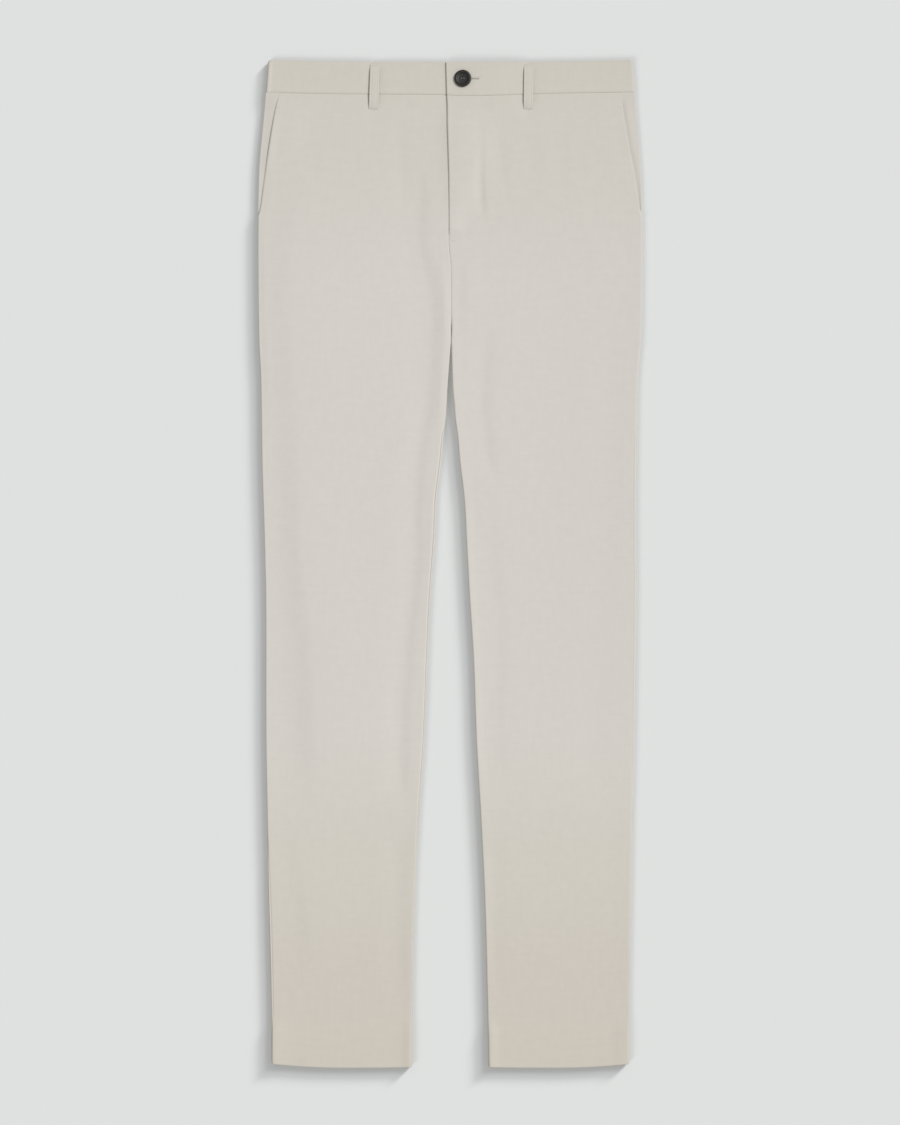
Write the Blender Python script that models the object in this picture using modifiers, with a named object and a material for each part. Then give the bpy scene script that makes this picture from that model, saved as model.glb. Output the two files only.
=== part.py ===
"""A pair of straight-leg ponte trousers, laid flat on their back with the front facing up.

Every size below is in millimetres and is turned into metres when a mesh is made. X runs to the
wearer's left, Y to the waist and Z up from the surface that the trousers lie on. "Down" is the
distance below the top of the waist, and the middle of the footprint is the origin.
"""

import math

import bmesh
import bpy

MM = 0.001

# Driving dimensions.
LENGTH = 1139.0
WAIST_DIP = 2.4
WAIST_DIP_FADES = 120.0
WAIST_HALF = 206.0
BAND_HEIGHT = 36.9
CROTCH_DOWN = 320.0
HEM_DEPTH = 24.0
HEM_CORNER_LIFT = 4.6
HEM_INNER_LIFT = 1.0
HEM_CURVE_STARTS = 1040.0

# Pieces stand GAP apart at their seams, and ROOM more where one slopes over another.
GAP = 0.3
ROOM = 0.1

# The cloth: a single layer, and the turned-up hem and the waistband, which are doubled.
WALL = 1.4
HEM_WALL = 2.2
BAND_WALL = 2.2
FACING_WALL = 1.0

# A side seam or inseam lies at the widest point of a rolled edge, with a short upright lip on
# each of its two panels. The roll widens to hold the doubled hem.
ROLL = 2.2
HEM_ROLL = 2.9
HEM_ROLL_STARTS = 1080.0
HEM_ROLL_FULL = 1102.0
FACING_ROLL = 1.4
LIP = 0.3
LEVEL_COLUMNS = (0.0, LIP, 2.0, 3.8)

RIGHT = -1
LEFT = 1

# down, right side, left side: the outer edges of the garment.
SIDES = (
    (0, -205.7, 206.8),
    (38, -208.5, 209.1),
    (79, -212.4, 212.4),
    (113, -215.6, 214.9),
    (147, -217.0, 216.8),
    (226, -217.5, 217.4),
    (316, -216.4, 216.4),
    (362, -214.2, 212.6),
    (452, -212.9, 210.7),
    (542, -210.2, 210.3),
    (610, -208.7, 210.6),
    (768, -208.4, 208.5),
    (859, -206.8, 206.2),
    (949, -205.1, 204.5),
    (1062, -202.3, 202.8),
    (1139, -201.7, 202.6),
)

# down, right leg, left leg: the inner edges of the legs, from the crotch to the hem.
INSEAMS = (
    (320, 0.95, 1.25),
    (371, -3.4, 1.5),
    (389, -4.6, 2.6),
    (407, -5.9, 4.4),
    (424, -8.0, 7.2),
    (452, -9.6, 9.4),
    (497, -15.0, 15.0),
    (542, -18.3, 18.2),
    (610, -23.4, 21.9),
    (678, -26.2, 26.2),
    (768, -29.4, 29.4),
    (859, -35.2, 34.6),
    (949, -39.9, 38.9),
    (1062, -42.4, 41.9),
    (1139, -42.9, 43.4),
)

# down, across: the edge of the left front at the fly, then the seam down to the crotch.
CENTRE_FRONT = (
    (0, -4.2),
    (38, -3.0),
    (46, -2.5),
    (194, -0.8),
    (207, -1.3),
    (221, -0.1),
    (234, 1.1),
    (305, 1.4),
    (320, 1.1),
)

# down, right front, left front: the slanted edges of the pocket openings.
POCKET_SLANTS = (
    (37, -193.3, 192.8),
    (59, -198.0, 196.0),
    (94, -203.9, 201.9),
    (129, -209.1, 208.9),
    (165, -213.9, 214.2),
)
POCKET_END = 165.0
POCKET_CLOSED = 171.5
FACING_UNDER = 16.0
FACING_SLOPE = 9.0
FACING_ROWS = 8
FACING_COLUMNS = (0.2, 0.5, 0.75, 1.0)
POCKET_SLOPE = 14.0
POCKET_LIFTED_WIDTH = 20.0

# down, height: how high the front lies between its edges. It is 4 to 6 mm everywhere.
REST_HEIGHT = (
    (37, 4.6),
    (100, 4.3),
    (200, 4.1),
    (320, 4.3),
    (450, 4.2),
    (800, 4.1),
    (1000, 4.2),
    (1085, 4.9),
    (1106, 5.6),
    (1139, 5.6),
)
# How far in from a rolled edge its extra height fades, and how far above the crotch it begins.
SIDE_SLOPE = 20.0
INSEAM_SLOPE = 11.0
CROTCH_SWELL = 34.0

# The right front runs on under the left front as far as the end of the fly.
UNDERLAP = 9.0
UNDERLAP_NARROWS = 184.0
UNDERLAP_ENDS = 196.0
FLY_SETTLES = 215.0
FLY_SLOPE = 24.0
FLY_LIFTED_WIDTH = 11.7
FLY_FACING_WIDTH = 34.0
FLY_FACING_SWELL = 0.5
FLY_FACING_SLOPE = 8.0

# Where the seams of the two fronts and of the two backs start and end their curl into the inseams.
CURL_STARTS = 284.0
CURL_FULL = CROTCH_DOWN - 2.0
CENTRE_BACK_DRIFT = 1.1

# down, steps: the rows of every panel, from the waistband seam to the hem.
ROW_SPANS = (
    (POCKET_END, 8),
    (POCKET_CLOSED, 2),
    (UNDERLAP_ENDS, 2),
    (FLY_SETTLES, 2),
    (CURL_STARTS, 3),
    (CROTCH_DOWN, 4),
    (371.0, 3),
    (452.0, 4),
    (1062.0, 12),
    (1106.0, 2),
    (1113.0, 1),
    (1115.0, 1),
    (LENGTH, 2),
)

# Distances of a front's columns from its side edge and from its inner edge, and how many more
# stand between them.
COLUMNS_BY_SIDE = (9.0, 17.0, 27.0, 37.0, 48.0)
COLUMNS_BY_INSEAM = (9.0, 16.0, 26.0)
FRONT_MIDDLE_COLUMNS = 3
BACK_MIDDLE_COLUMNS = 2

# depth, half-width, then the fold's course as (across, down). A trough has a negative depth.
FOLDS = (
    (-0.8, 12, ((-206, 196), (-191, 243), (-186, 362), (-177, 548), (-165, 678), (-163, 825))),
    (-0.7, 10, ((-188, 852), (-174, 904), (-164, 992))),
    (-0.7, 10, ((-36, 106), (-28, 147), (-29, 203), (-16, 268), (-19, 335), (-26, 404))),
    (-0.9, 9, ((-26, 404), (-35, 481), (-36, 570), (-40, 640), (-47, 738), (-48, 850))),
    (-0.6, 9, ((-53, 900), (-54, 981), (-53, 1058))),
    (0.4, 9, ((-55, 410), (-52, 490), (-56, 590))),
    (-0.5, 12, ((-50, 50), (-51, 100), (-49, 165))),
    (-0.5, 9, ((41, 70), (40, 124), (46, 178))),
    (-0.5, 9, ((61, 96), (65, 130), (71, 172))),
    (-0.3, 10, ((94, 76), (96, 106), (94, 140))),
    (-0.7, 8, ((18, 222), (17, 262), (14, 300))),
    (-0.7, 9, ((51, 306), (43, 379), (50, 452), (66, 500))),
    (-0.6, 10, ((36, 560), (42, 640), (40, 757), (57, 810))),
    (-0.6, 12, ((196, 420), (186, 560), (176, 700), (180, 860))),
    (-0.5, 11, ((60, 880), (56, 960), (58, 1050))),
)
FOLD_TAPER = 45.0
FOLD_MARGIN = 9.0

# The waistband's ends: the left end lies on top at the fly, the right end runs on beneath it.
BAND_UNDERLAP_END = 39.0
BAND_UNDERLAP_RAMP = 40.0
BAND_SIDE_HEIGHT = 5.4
BAND_REST_HEIGHT = 5.15
BAND_WAVE = 0.12
BAND_WAVE_LENGTH = 195.0
BAND_HAIRPIN_STEPS = 6
BAND_RAMP_START = 43.0
BAND_RAMP_END = 105.0
BAND_STEP = 1.3
BAND_PULL = 48.0
# Where the band's columns stand: right front from the fly, back, and left front to the fly.
BAND_RIGHT_COLUMNS = (BAND_UNDERLAP_END, 20, -2, -14, -34, -60, -90, -120, -150, -180)
BAND_BACK_COLUMNS = (-120, -40, 40, 120)
BAND_LEFT_COLUMNS = (184, 158, 132, BAND_RAMP_END, 89, 74, 58, BAND_RAMP_START, 20)
# down, how far the band's outer face stands in there.
BAND_ROWS = (
    (0.0, 0.5),
    (0.9, 0.3),
    (2.5, 0.12),
    (18.5, 0.0),
    (34.4, 0.12),
    (BAND_HEIGHT, 0.5),
)
# The two upper corners of the waistband, at the sides, are rounded.
BAND_CORNER = 3.0

# side, top centre, bottom centre: the two belt loops on the front.
LOOPS = ((RIGHT, -85.4, -86.7), (LEFT, 88.4, 87.8))
LOOP_TOP = 2.6
LOOP_BOTTOM = 53.4
LOOP_WIDTH = 10.8
LOOP_WALL = 1.65
LOOP_STANDS_OFF = 1.3
LOOP_ARCH_FULLNESS = 0.6
LOOP_EDGE_DROP = 0.35
LOOP_STEPS = 10
# across, how far the face drops: the columns of a loop, as shares of half its width.
LOOP_COLUMNS = ((-1.0, LOOP_EDGE_DROP), (-0.86, 0.0), (0.0, 0.0), (0.86, 0.0), (1.0, LOOP_EDGE_DROP))

BUTTON_ACROSS = 14.4
BUTTON_DOWN = 20.6
BUTTON_RADIUS = 9.6
BUTTON_HEIGHT = 3.2
BUTTON_HOLES = 4
BUTTON_HOLE_RADIUS = 0.85
BUTTON_HOLE_CIRCLE = 1.9
BUTTON_HOLE_SIDES = 10
BUTTON_STEPS = 28
# radius, height: shares of the button's own, down its face, round its rim and under it.
BUTTON_PROFILE = (
    (0.0, 0.72),
    (0.60, 0.74),
    (0.72, 0.96),
    (0.82, 1.0),
    (0.93, 0.93),
    (1.0, 0.70),
    (0.98, 0.42),
    (0.72, 0.0),
    (0.0, 0.0),
)

CLOTH_COLOUR = (0.70, 0.67, 0.62, 1.0)
BUTTON_COLOUR = (0.03, 0.03, 0.028, 1.0)


def blend(start, end, share):
    return start + (end - start) * share


def ease(share):
    """0 below 0, 1 above 1, with a level start and end."""
    share = min(1.0, max(0.0, share))
    return share * share * (3.0 - 2.0 * share)


def read(table, column, at):
    """A smooth curve through one column of a table, against its first column."""
    at = min(max(at, table[0][0]), table[-1][0])
    last = len(table) - 1
    i = next(k for k in range(last) if at <= table[k + 1][0])
    before, here, there, after = (table[max(0, min(last, k))] for k in (i - 1, i, i + 1, i + 2))
    step = there[0] - here[0]
    share = (at - here[0]) / step
    slope_here = (there[column] - before[column]) / (there[0] - before[0])
    slope_there = (after[column] - here[column]) / (after[0] - here[0])
    square, cube = share * share, share * share * share
    return (
        (2 * cube - 3 * square + 1) * here[column]
        + (cube - 2 * square + share) * step * slope_here
        + (3 * square - 2 * cube) * there[column]
        + (cube - square) * step * slope_there
    )


def column_of(side):
    return 1 if side == RIGHT else 2


def side_edge(side, down):
    return read(SIDES, column_of(side), down)


def waist_dip(across):
    """How much lower than its two ends the waist lies, which the whole top edge follows."""
    return WAIST_DIP * max(0.0, 1.0 - (across / WAIST_HALF) ** 2)


def back_inner_edge(side, down):
    if down >= CROTCH_DOWN:
        return read(INSEAMS, column_of(side), down)
    return CENTRE_BACK_DRIFT * ease(down / CROTCH_DOWN) + side * GAP / 2


def front_inner_edge(side, down):
    if down >= CROTCH_DOWN:
        return read(INSEAMS, column_of(side), down)
    narrowing = ease((down - UNDERLAP_NARROWS) / (UNDERLAP_ENDS - UNDERLAP_NARROWS))
    seam = read(CENTRE_FRONT, 1, down)
    if side == LEFT:
        return seam + GAP / 2
    return seam + blend(UNDERLAP, -GAP / 2, narrowing)


def front_outer_edge(side, down):
    if down >= POCKET_CLOSED:
        return side_edge(side, down)
    slant = read(POCKET_SLANTS, column_of(side), down)
    return blend(slant, side_edge(side, down), side_closing(down))


def side_closing(down):
    """0 along the pocket opening, where the front's edge lies free, and 1 where it is sewn."""
    return ease((down - POCKET_END) / (POCKET_CLOSED - POCKET_END))


def crotch_curl(down):
    """0 where a centre seam lies flat, and 1 from the crotch down, where the edge is rolled."""
    return ease((down - CURL_STARTS) / (CURL_FULL - CURL_STARTS))


def hem_bulk(down):
    """0 along the leg, and 1 where the edges hold the doubled hem."""
    return ease((down - HEM_ROLL_STARTS) / (HEM_ROLL_FULL - HEM_ROLL_STARTS))


def roll_at(down):
    return blend(ROLL, HEM_ROLL, hem_bulk(down))


def crown_at(down):
    """The height of a rolled edge: two rolls, their lips and the gap of the seam."""
    return 2 * (roll_at(down) + LIP) + GAP + blend(ROOM, 4 * ROOM, hem_bulk(down))


def wall_at(down):
    return HEM_WALL if down > LENGTH - HEM_DEPTH - 1 else WALL


def fold_depth(across, down):
    """What all the folds together add at a point."""
    total = 0.0
    for depth, half_width, course in FOLDS:
        start, end = course[0][1], course[-1][1]
        if start < down < end:
            along = min(down - start, end - down) / FOLD_TAPER
            middle = read(tuple((d, a) for a, d in course), 1, down)
            total += depth * ease(along) * math.exp(-(((across - middle) / half_width) ** 2))
    return total


def facing_height(side, down, across):
    """The outer face of a pocket facing: rolled at the side seam and flat under the front."""
    flat = WALL + GAP + FACING_WALL + ROOM / 2
    crown = ROLL + 2 * LIP + GAP + FACING_ROLL
    inset = abs(across - side_edge(side, down))
    return blend(crown, flat, ease((inset - FACING_ROLL) / FACING_SLOPE))


def fly_height(side, down, across, height):
    """The two fronts at the fly: the right one pressed flat, the left one lifted over it."""
    edge = read(CENTRE_FRONT, 1, down)
    open_fly = 1 - ease((down - UNDERLAP_ENDS) / (FLY_SETTLES - UNDERLAP_ENDS))
    low = 2 * WALL + GAP + ROOM
    if side == RIGHT:
        near = 1 - ease((edge - UNDERLAP / 2 - across) / FLY_SLOPE)
        return blend(height, low, near * open_fly)
    lifted = low + GAP + WALL + ROOM / 2
    near = 1 - ease((across - edge - FLY_LIFTED_WIDTH) / FLY_SLOPE)
    swell = FLY_FACING_SWELL * (1 - ease((across - edge - FLY_FACING_WIDTH) / FLY_FACING_SLOPE))
    return blend(height + swell * open_fly, max(height, lifted), near * open_fly)


def height_over_facing(side, down, across, height):
    """The front lies on the pocket facing, and slopes down beyond it."""
    over = facing_height(side, min(down, POCKET_END), across) + GAP + 2 * ROOM + WALL
    from_outer = abs(across - front_outer_edge(side, down))
    near = 1 - ease((from_outer - POCKET_LIFTED_WIDTH) / POCKET_SLOPE)
    return blend(height, max(height, over), near * (1 - side_closing(down)))


def front_height(side, down, across):
    """The height of a front's outer face above the surface under the trousers."""
    outer, inner = front_outer_edge(side, down), front_inner_edge(side, down)
    from_outer, from_inner = abs(across - outer), abs(across - inner)
    rest = read(REST_HEIGHT, 1, down)
    by_side = side_closing(down) * (1 - ease((from_outer - roll_at(down)) / SIDE_SLOPE))
    swelling = ease((down - CURL_STARTS) / CROTCH_SWELL + 1)
    by_inseam = swelling * (1 - ease((from_inner - roll_at(down)) / INSEAM_SLOPE))
    height = blend(rest, crown_at(down), max(by_side, by_inseam))
    height += fold_depth(across, down) * ease(min(from_outer, from_inner) / FOLD_MARGIN)
    height = max(height, 2 * wall_at(down) + GAP + ROOM)
    if down < FLY_SETTLES:
        height = fly_height(side, down, across, height)
    if side == LEFT:
        sewn = left_band_height(across) - BAND_STEP
        height = max(height, blend(sewn, height, ease((down - BAND_HEIGHT) / BAND_PULL)))
    if down < POCKET_CLOSED:
        height = height_over_facing(side, down, across, height)
    return height


def band_height(across):
    """The outer face of the waistband's front, where its two ends don't overlap."""
    wave = BAND_WAVE * math.sin(math.tau * across / BAND_WAVE_LENGTH)
    return BAND_REST_HEIGHT + wave * ease((abs(across) - BAND_RAMP_START) / BAND_RAMP_END)


def right_band_height(across):
    """The right end of the waistband sinks towards the fly, where it runs on beneath the left."""
    near = 1 - ease(-across / BAND_UNDERLAP_RAMP)
    return blend(band_height(across), 2 * BAND_WALL + GAP + ROOM / 2, near)


def left_band_height(across):
    """The left end of the waistband rises towards the fly, to lie over the right end."""
    near = 1 - ease((across - BAND_RAMP_START) / (BAND_RAMP_END - BAND_RAMP_START))
    return blend(band_height(across), 3 * BAND_WALL + 2 * GAP + ROOM, near)


def edge_steps(roll, curl):
    """How far in and how far down each of the first four columns of an edge lies."""
    slope = 1 - math.sqrt(0.5)
    rolled = ((0.0, roll + LIP), (0.0, roll), (slope * roll, slope * roll), (roll, 0.0))
    return [
        (blend(level, inset, curl), curl * drop)
        for level, (inset, drop) in zip(LEVEL_COLUMNS, rolled)
    ]


def panel_rows(start):
    """The rows of a panel, as distances down, from the waistband seam to the hem."""
    rows = [start]
    for end, steps in ROW_SPANS:
        first = rows[-1]
        rows += [blend(first, end, (k + 1) / steps) for k in range(steps)]
    return rows


def hem_lift(side, down, across):
    """The hem rises a little towards the side seam."""
    outer = side_edge(side, down)
    inner = read(INSEAMS, column_of(side), down)
    from_middle = (across - (outer + inner) / 2) / ((outer - inner) / 2)
    reach = HEM_CORNER_LIFT * max(0.0, from_middle) ** 2 + HEM_INNER_LIFT * min(0.0, from_middle) ** 4
    return reach * ease((down - HEM_CURVE_STARTS) / (LENGTH - HEM_CURVE_STARTS))


def place(side, down, across, height):
    """A point of a panel in metres, with the waist's dip and the hem's lift."""
    sag = waist_dip(across) * (1 - ease((down - BAND_HEIGHT) / WAIST_DIP_FADES))
    lift = hem_lift(side, down, across) if down > CROTCH_DOWN else 0.0
    return across * MM, (LENGTH / 2 - down - sag + lift) * MM, height * MM


def front_section(side, down):
    """One row of a front panel, from its side edge to its inner edge."""
    outer, inner = front_outer_edge(side, down), front_inner_edge(side, down)
    roll = roll_at(down)
    by_side = edge_steps(roll, side_closing(down))
    by_inseam = edge_steps(roll, crotch_curl(down))
    width = abs(outer - inner)
    insets = [inset for inset, _ in by_side] + list(COLUMNS_BY_SIDE)
    first, last = COLUMNS_BY_SIDE[-1], width - COLUMNS_BY_INSEAM[-1]
    spans = FRONT_MIDDLE_COLUMNS + 1
    insets += [blend(first, last, (k + 1) / spans) for k in range(FRONT_MIDDLE_COLUMNS)]
    insets += [width - inset for inset in reversed(COLUMNS_BY_INSEAM)]
    insets += [width - inset for inset, _ in reversed(by_inseam)]
    drops = [drop for _, drop in by_side]
    drops += [0.0] * (len(insets) - len(by_side) - len(by_inseam))
    drops += [drop for _, drop in reversed(by_inseam)]
    section = []
    for inset, drop in zip(insets, drops):
        across = outer - side * inset
        section.append(place(side, down, across, front_height(side, down, across) - drop))
    return section


def back_section(side, down):
    """One row of a back panel, flat underneath, from its side edge to its inner edge."""
    outer, inner = side_edge(side, down), back_inner_edge(side, down)
    roll = roll_at(down)
    by_side = edge_steps(roll, 1.0)
    by_inseam = edge_steps(roll, crotch_curl(down))
    width = abs(outer - inner)
    insets = list(by_side)
    first, last = by_side[-1][0], width - by_inseam[-1][0]
    spans = BACK_MIDDLE_COLUMNS + 1
    insets += [(blend(first, last, (k + 1) / spans), 0.0) for k in range(BACK_MIDDLE_COLUMNS)]
    insets += [(width - inset, rise) for inset, rise in reversed(by_inseam)]
    return [place(side, down, outer - side * inset, rise) for inset, rise in insets]


def facing_section(side, down):
    """One row of a pocket facing, from the side seam to its edge under the front."""
    outer = side_edge(side, down)
    inner = read(POCKET_SLANTS, column_of(side), down) - side * FACING_UNDER
    width = abs(outer - inner)
    steps = edge_steps(FACING_ROLL, 1.0)
    steps += [(blend(FACING_ROLL, width, share), 0.0) for share in FACING_COLUMNS]
    section = []
    for inset, drop in steps:
        across = outer - side * inset
        section.append(place(side, down, across, facing_height(side, down, across) - drop))
    return section


def corner_inset(down):
    """How far in from its side the rounded corner of the waistband lies."""
    short = max(0.0, BAND_CORNER - down)
    return BAND_CORNER - math.sqrt(BAND_CORNER**2 - short**2)


def band_section(down, inset):
    """One line along the waistband: its end beneath the fly, the right side, the back, the left
    side, and its end on top."""
    radius = BAND_SIDE_HEIGHT / 2
    right, left = (side_edge(side, down) - side * corner_inset(down) for side in (RIGHT, LEFT))
    points = []
    for across in BAND_RIGHT_COLUMNS:
        points.append((across, right_band_height(across) - inset))
    points += hairpin(right + radius, radius, radius - inset, RIGHT)
    points += [(across, inset) for across in BAND_BACK_COLUMNS]
    points += hairpin(left - radius, radius, radius - inset, LEFT)
    for across in (*BAND_LEFT_COLUMNS, read(CENTRE_FRONT, 1, down) + GAP / 2):
        points.append((across, left_band_height(across) - inset))
    return [
        (across * MM, (LENGTH / 2 - down - waist_dip(across)) * MM, height * MM)
        for across, height in points
    ]


def hairpin(middle, height, radius, side):
    """The turn at a side, from the front over the edge to the back, or the other way round."""
    turns = [math.pi * k / BAND_HAIRPIN_STEPS for k in range(BAND_HAIRPIN_STEPS + 1)]
    if side == LEFT:
        turns.reverse()
    return [
        (middle + side * radius * math.sin(turn), height + radius * math.cos(turn))
        for turn in turns
    ]


def loop_section(side, top_middle, bottom_middle, share):
    """One row of a belt loop, lifted off the cloth between its two sewn ends."""
    down = blend(LOOP_TOP, LOOP_BOTTOM, share)
    middle = blend(top_middle, bottom_middle, share)
    on_band = band_height(middle)
    on_front = front_height(side, max(down, BAND_HEIGHT), middle)
    past_seam = ease((down - BAND_HEIGHT) / LOOP_WIDTH)
    ground = blend(max(on_band, on_front), on_front + ROOM, past_seam)
    arch = LOOP_STANDS_OFF * math.sin(math.pi * share) ** LOOP_ARCH_FULLNESS
    height = ground + GAP + 2 * ROOM + LOOP_WALL + LOOP_EDGE_DROP + arch
    section = []
    for share_across, inset in LOOP_COLUMNS:
        across = middle + share_across * LOOP_WIDTH / 2
        section.append(
            (across * MM, (LENGTH / 2 - down - waist_dip(middle)) * MM, (height - inset) * MM)
        )
    return section


def clear_scene():
    for obj in list(bpy.data.objects):
        bpy.data.objects.remove(obj, do_unlink=True)


def make_collection(name):
    collection = bpy.data.collections.new(name)
    bpy.context.scene.collection.children.link(collection)
    return collection


def make_material(name, colour, roughness):
    material = bpy.data.materials.new(name)
    material.use_nodes = True
    shader = material.node_tree.nodes["Principled BSDF"]
    shader.inputs["Base Color"].default_value = colour
    shader.inputs["Roughness"].default_value = roughness
    shader.inputs["Metallic"].default_value = 0.0
    material.diffuse_color = colour
    return material


def make_sheet(name, sections, upward_column, collection, material):
    """An open grid of cloth through the sections. Its outer side faces up at upward_column, and
    down in the middle where that is None."""
    bm = bmesh.new()
    rows, columns = len(sections), len(sections[0])
    bmesh.ops.create_grid(bm, x_segments=columns - 1, y_segments=rows - 1, size=0.5)
    for vert in bm.verts:
        row = round((0.5 - vert.co.y) * (rows - 1))
        column = round((vert.co.x + 0.5) * (columns - 1))
        vert.co = sections[row][column]
    bm.normal_update()
    bm.faces.ensure_lookup_table()
    tested = columns // 2 if upward_column is None else upward_column
    faces_up = bm.faces[(rows - 1) // 2 * (columns - 1) + tested].normal.z > 0
    if faces_up == (upward_column is None):
        bmesh.ops.reverse_faces(bm, faces=bm.faces)
    mesh = bpy.data.meshes.new(name)
    bm.to_mesh(mesh)
    bm.free()
    mesh.shade_smooth()
    obj = bpy.data.objects.new(name, mesh)
    obj.data.materials.append(material)
    collection.objects.link(obj)
    return obj


def thicken(obj, wall, thin_share=1.0, thickness_at=None):
    """Gives a sheet its wall, inward, thinner where thickness_at is below 1."""
    solidify = obj.modifiers.new("wall", "SOLIDIFY")
    solidify.thickness = wall * MM
    solidify.offset = -1.0
    solidify.use_even_offset = True
    solidify.use_quality_normals = True
    if thickness_at:
        group = obj.vertex_groups.new(name="full_wall")
        for vert in obj.data.vertices:
            group.add([vert.index], thickness_at(vert.co), "REPLACE")
        solidify.vertex_group = group.name
        solidify.thickness_vertex_group = thin_share
    return obj


def hem_share(point):
    """1 in the turned-up hem and 0 above it."""
    down = LENGTH / 2 - point.y / MM
    return 1.0 if down > LENGTH - HEM_DEPTH - HEM_CORNER_LIFT else 0.0


def make_panels(collection, cloth):
    rows = panel_rows(BAND_HEIGHT + GAP)
    for side, name in ((RIGHT, "right"), (LEFT, "left")):
        fronts = [front_section(side, down) for down in rows]
        front = make_sheet(f"front_{name}", fronts, len(fronts[0]) // 2, collection, cloth)
        backs = [back_section(side, down) for down in rows]
        back = make_sheet(f"back_{name}", backs, None, collection, cloth)
        for panel in (front, back):
            thicken(panel, HEM_WALL, WALL / HEM_WALL, hem_share)


def make_facings(collection, cloth):
    first = BAND_HEIGHT + GAP
    last = POCKET_END - GAP - 2 * ROOM
    rows = [blend(first, last, k / FACING_ROWS) for k in range(FACING_ROWS + 1)]
    for side, name in ((RIGHT, "right"), (LEFT, "left")):
        sections = [facing_section(side, down) for down in rows]
        inner_column = len(sections[0]) - 2
        facing = make_sheet(f"pocket_facing_{name}", sections, inner_column, collection, cloth)
        thicken(facing, FACING_WALL)


def make_waistband(collection, cloth):
    sections = [band_section(down, inset) for down, inset in BAND_ROWS]
    columns = len(sections[0])
    band = make_sheet("waistband", sections, 0, collection, cloth)
    edge_wall = BAND_WALL - 2 * BAND_ROWS[0][1]
    insets = [BAND_ROWS[len(BAND_ROWS) - 1 - k // columns][1] for k in range(len(band.data.vertices))]
    shares = {}
    for vert, inset in zip(band.data.vertices, insets):
        shares[tuple(vert.co)] = (BAND_WALL - 2 * inset - edge_wall) / (BAND_WALL - edge_wall)
    thicken(band, BAND_WALL, edge_wall / BAND_WALL, lambda point: shares[tuple(point)])


def make_loops(collection, cloth):
    for side, top_middle, bottom_middle in LOOPS:
        name = "belt_loop_right" if side == RIGHT else "belt_loop_left"
        sections = [
            loop_section(side, top_middle, bottom_middle, k / LOOP_STEPS)
            for k in range(LOOP_STEPS + 1)
        ]
        thicken(make_sheet(name, sections, 1, collection, cloth), LOOP_WALL)


def make_button(collection, cutters, plastic):
    """A turned button with a raised rim, and four sewing holes cut through it."""
    mesh = bpy.data.meshes.new("button")
    bm = bmesh.new()
    verts = [
        bm.verts.new((radius * BUTTON_RADIUS * MM, 0.0, height * BUTTON_HEIGHT * MM))
        for radius, height in BUTTON_PROFILE
    ]
    for first, second in zip(verts, verts[1:]):
        bm.edges.new((first, second))
    bm.to_mesh(mesh)
    bm.free()
    button = bpy.data.objects.new("button", mesh)
    mesh.materials.append(plastic)
    collection.objects.link(button)
    middle = (
        BUTTON_ACROSS * MM,
        (LENGTH / 2 - BUTTON_DOWN) * MM,
        (left_band_height(BUTTON_ACROSS) + GAP) * MM,
    )
    button.location = middle
    screw = button.modifiers.new("turn", "SCREW")
    screw.steps = BUTTON_STEPS
    screw.render_steps = BUTTON_STEPS
    screw.use_merge_vertices = True
    screw.merge_threshold = 0.00005
    for k in range(BUTTON_HOLES):
        angle = math.tau * (k + 0.5) / BUTTON_HOLES
        bpy.ops.mesh.primitive_cylinder_add(
            vertices=BUTTON_HOLE_SIDES,
            radius=BUTTON_HOLE_RADIUS * MM,
            depth=3 * BUTTON_HEIGHT * MM,
            location=(
                middle[0] + BUTTON_HOLE_CIRCLE * math.cos(angle) * MM,
                middle[1] + BUTTON_HOLE_CIRCLE * math.sin(angle) * MM,
                middle[2],
            ),
        )
        drill = bpy.context.object
        drill.name = f"button_drill_{k + 1}"
        for owner in list(drill.users_collection):
            owner.objects.unlink(drill)
        cutters.objects.link(drill)
        drill.hide_render = True
        drill.display_type = "WIRE"
        hole = button.modifiers.new(f"hole_{k + 1}", "BOOLEAN")
        hole.operation = "DIFFERENCE"
        hole.object = drill


def main():
    clear_scene()
    garment = make_collection("ponte_trousers")
    cutters = make_collection("cutters")
    cutters.hide_render = True
    cloth = make_material("ponte_cloth", CLOTH_COLOUR, 0.9)
    plastic = make_material("button_plastic", BUTTON_COLOUR, 0.35)
    make_panels(garment, cloth)
    make_facings(garment, cloth)
    make_waistband(garment, cloth)
    make_loops(garment, cloth)
    make_button(garment, cutters, plastic)


main()
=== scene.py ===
# %% [markdown]
# # Ponte trousers, laid flat with the front facing up
#
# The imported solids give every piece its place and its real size. This lesson dresses them: each
# piece of cloth becomes a thin shell with its seams, folds and turned edges, and then gets its
# knit, its stitches and its light. Sizes are in millimetres, as on a maker's sheet, and MM turns
# them into Blender's metres where a mesh is made.

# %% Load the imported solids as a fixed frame
import math

import bmesh
import bpy
from mathutils import Matrix, Vector


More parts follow.
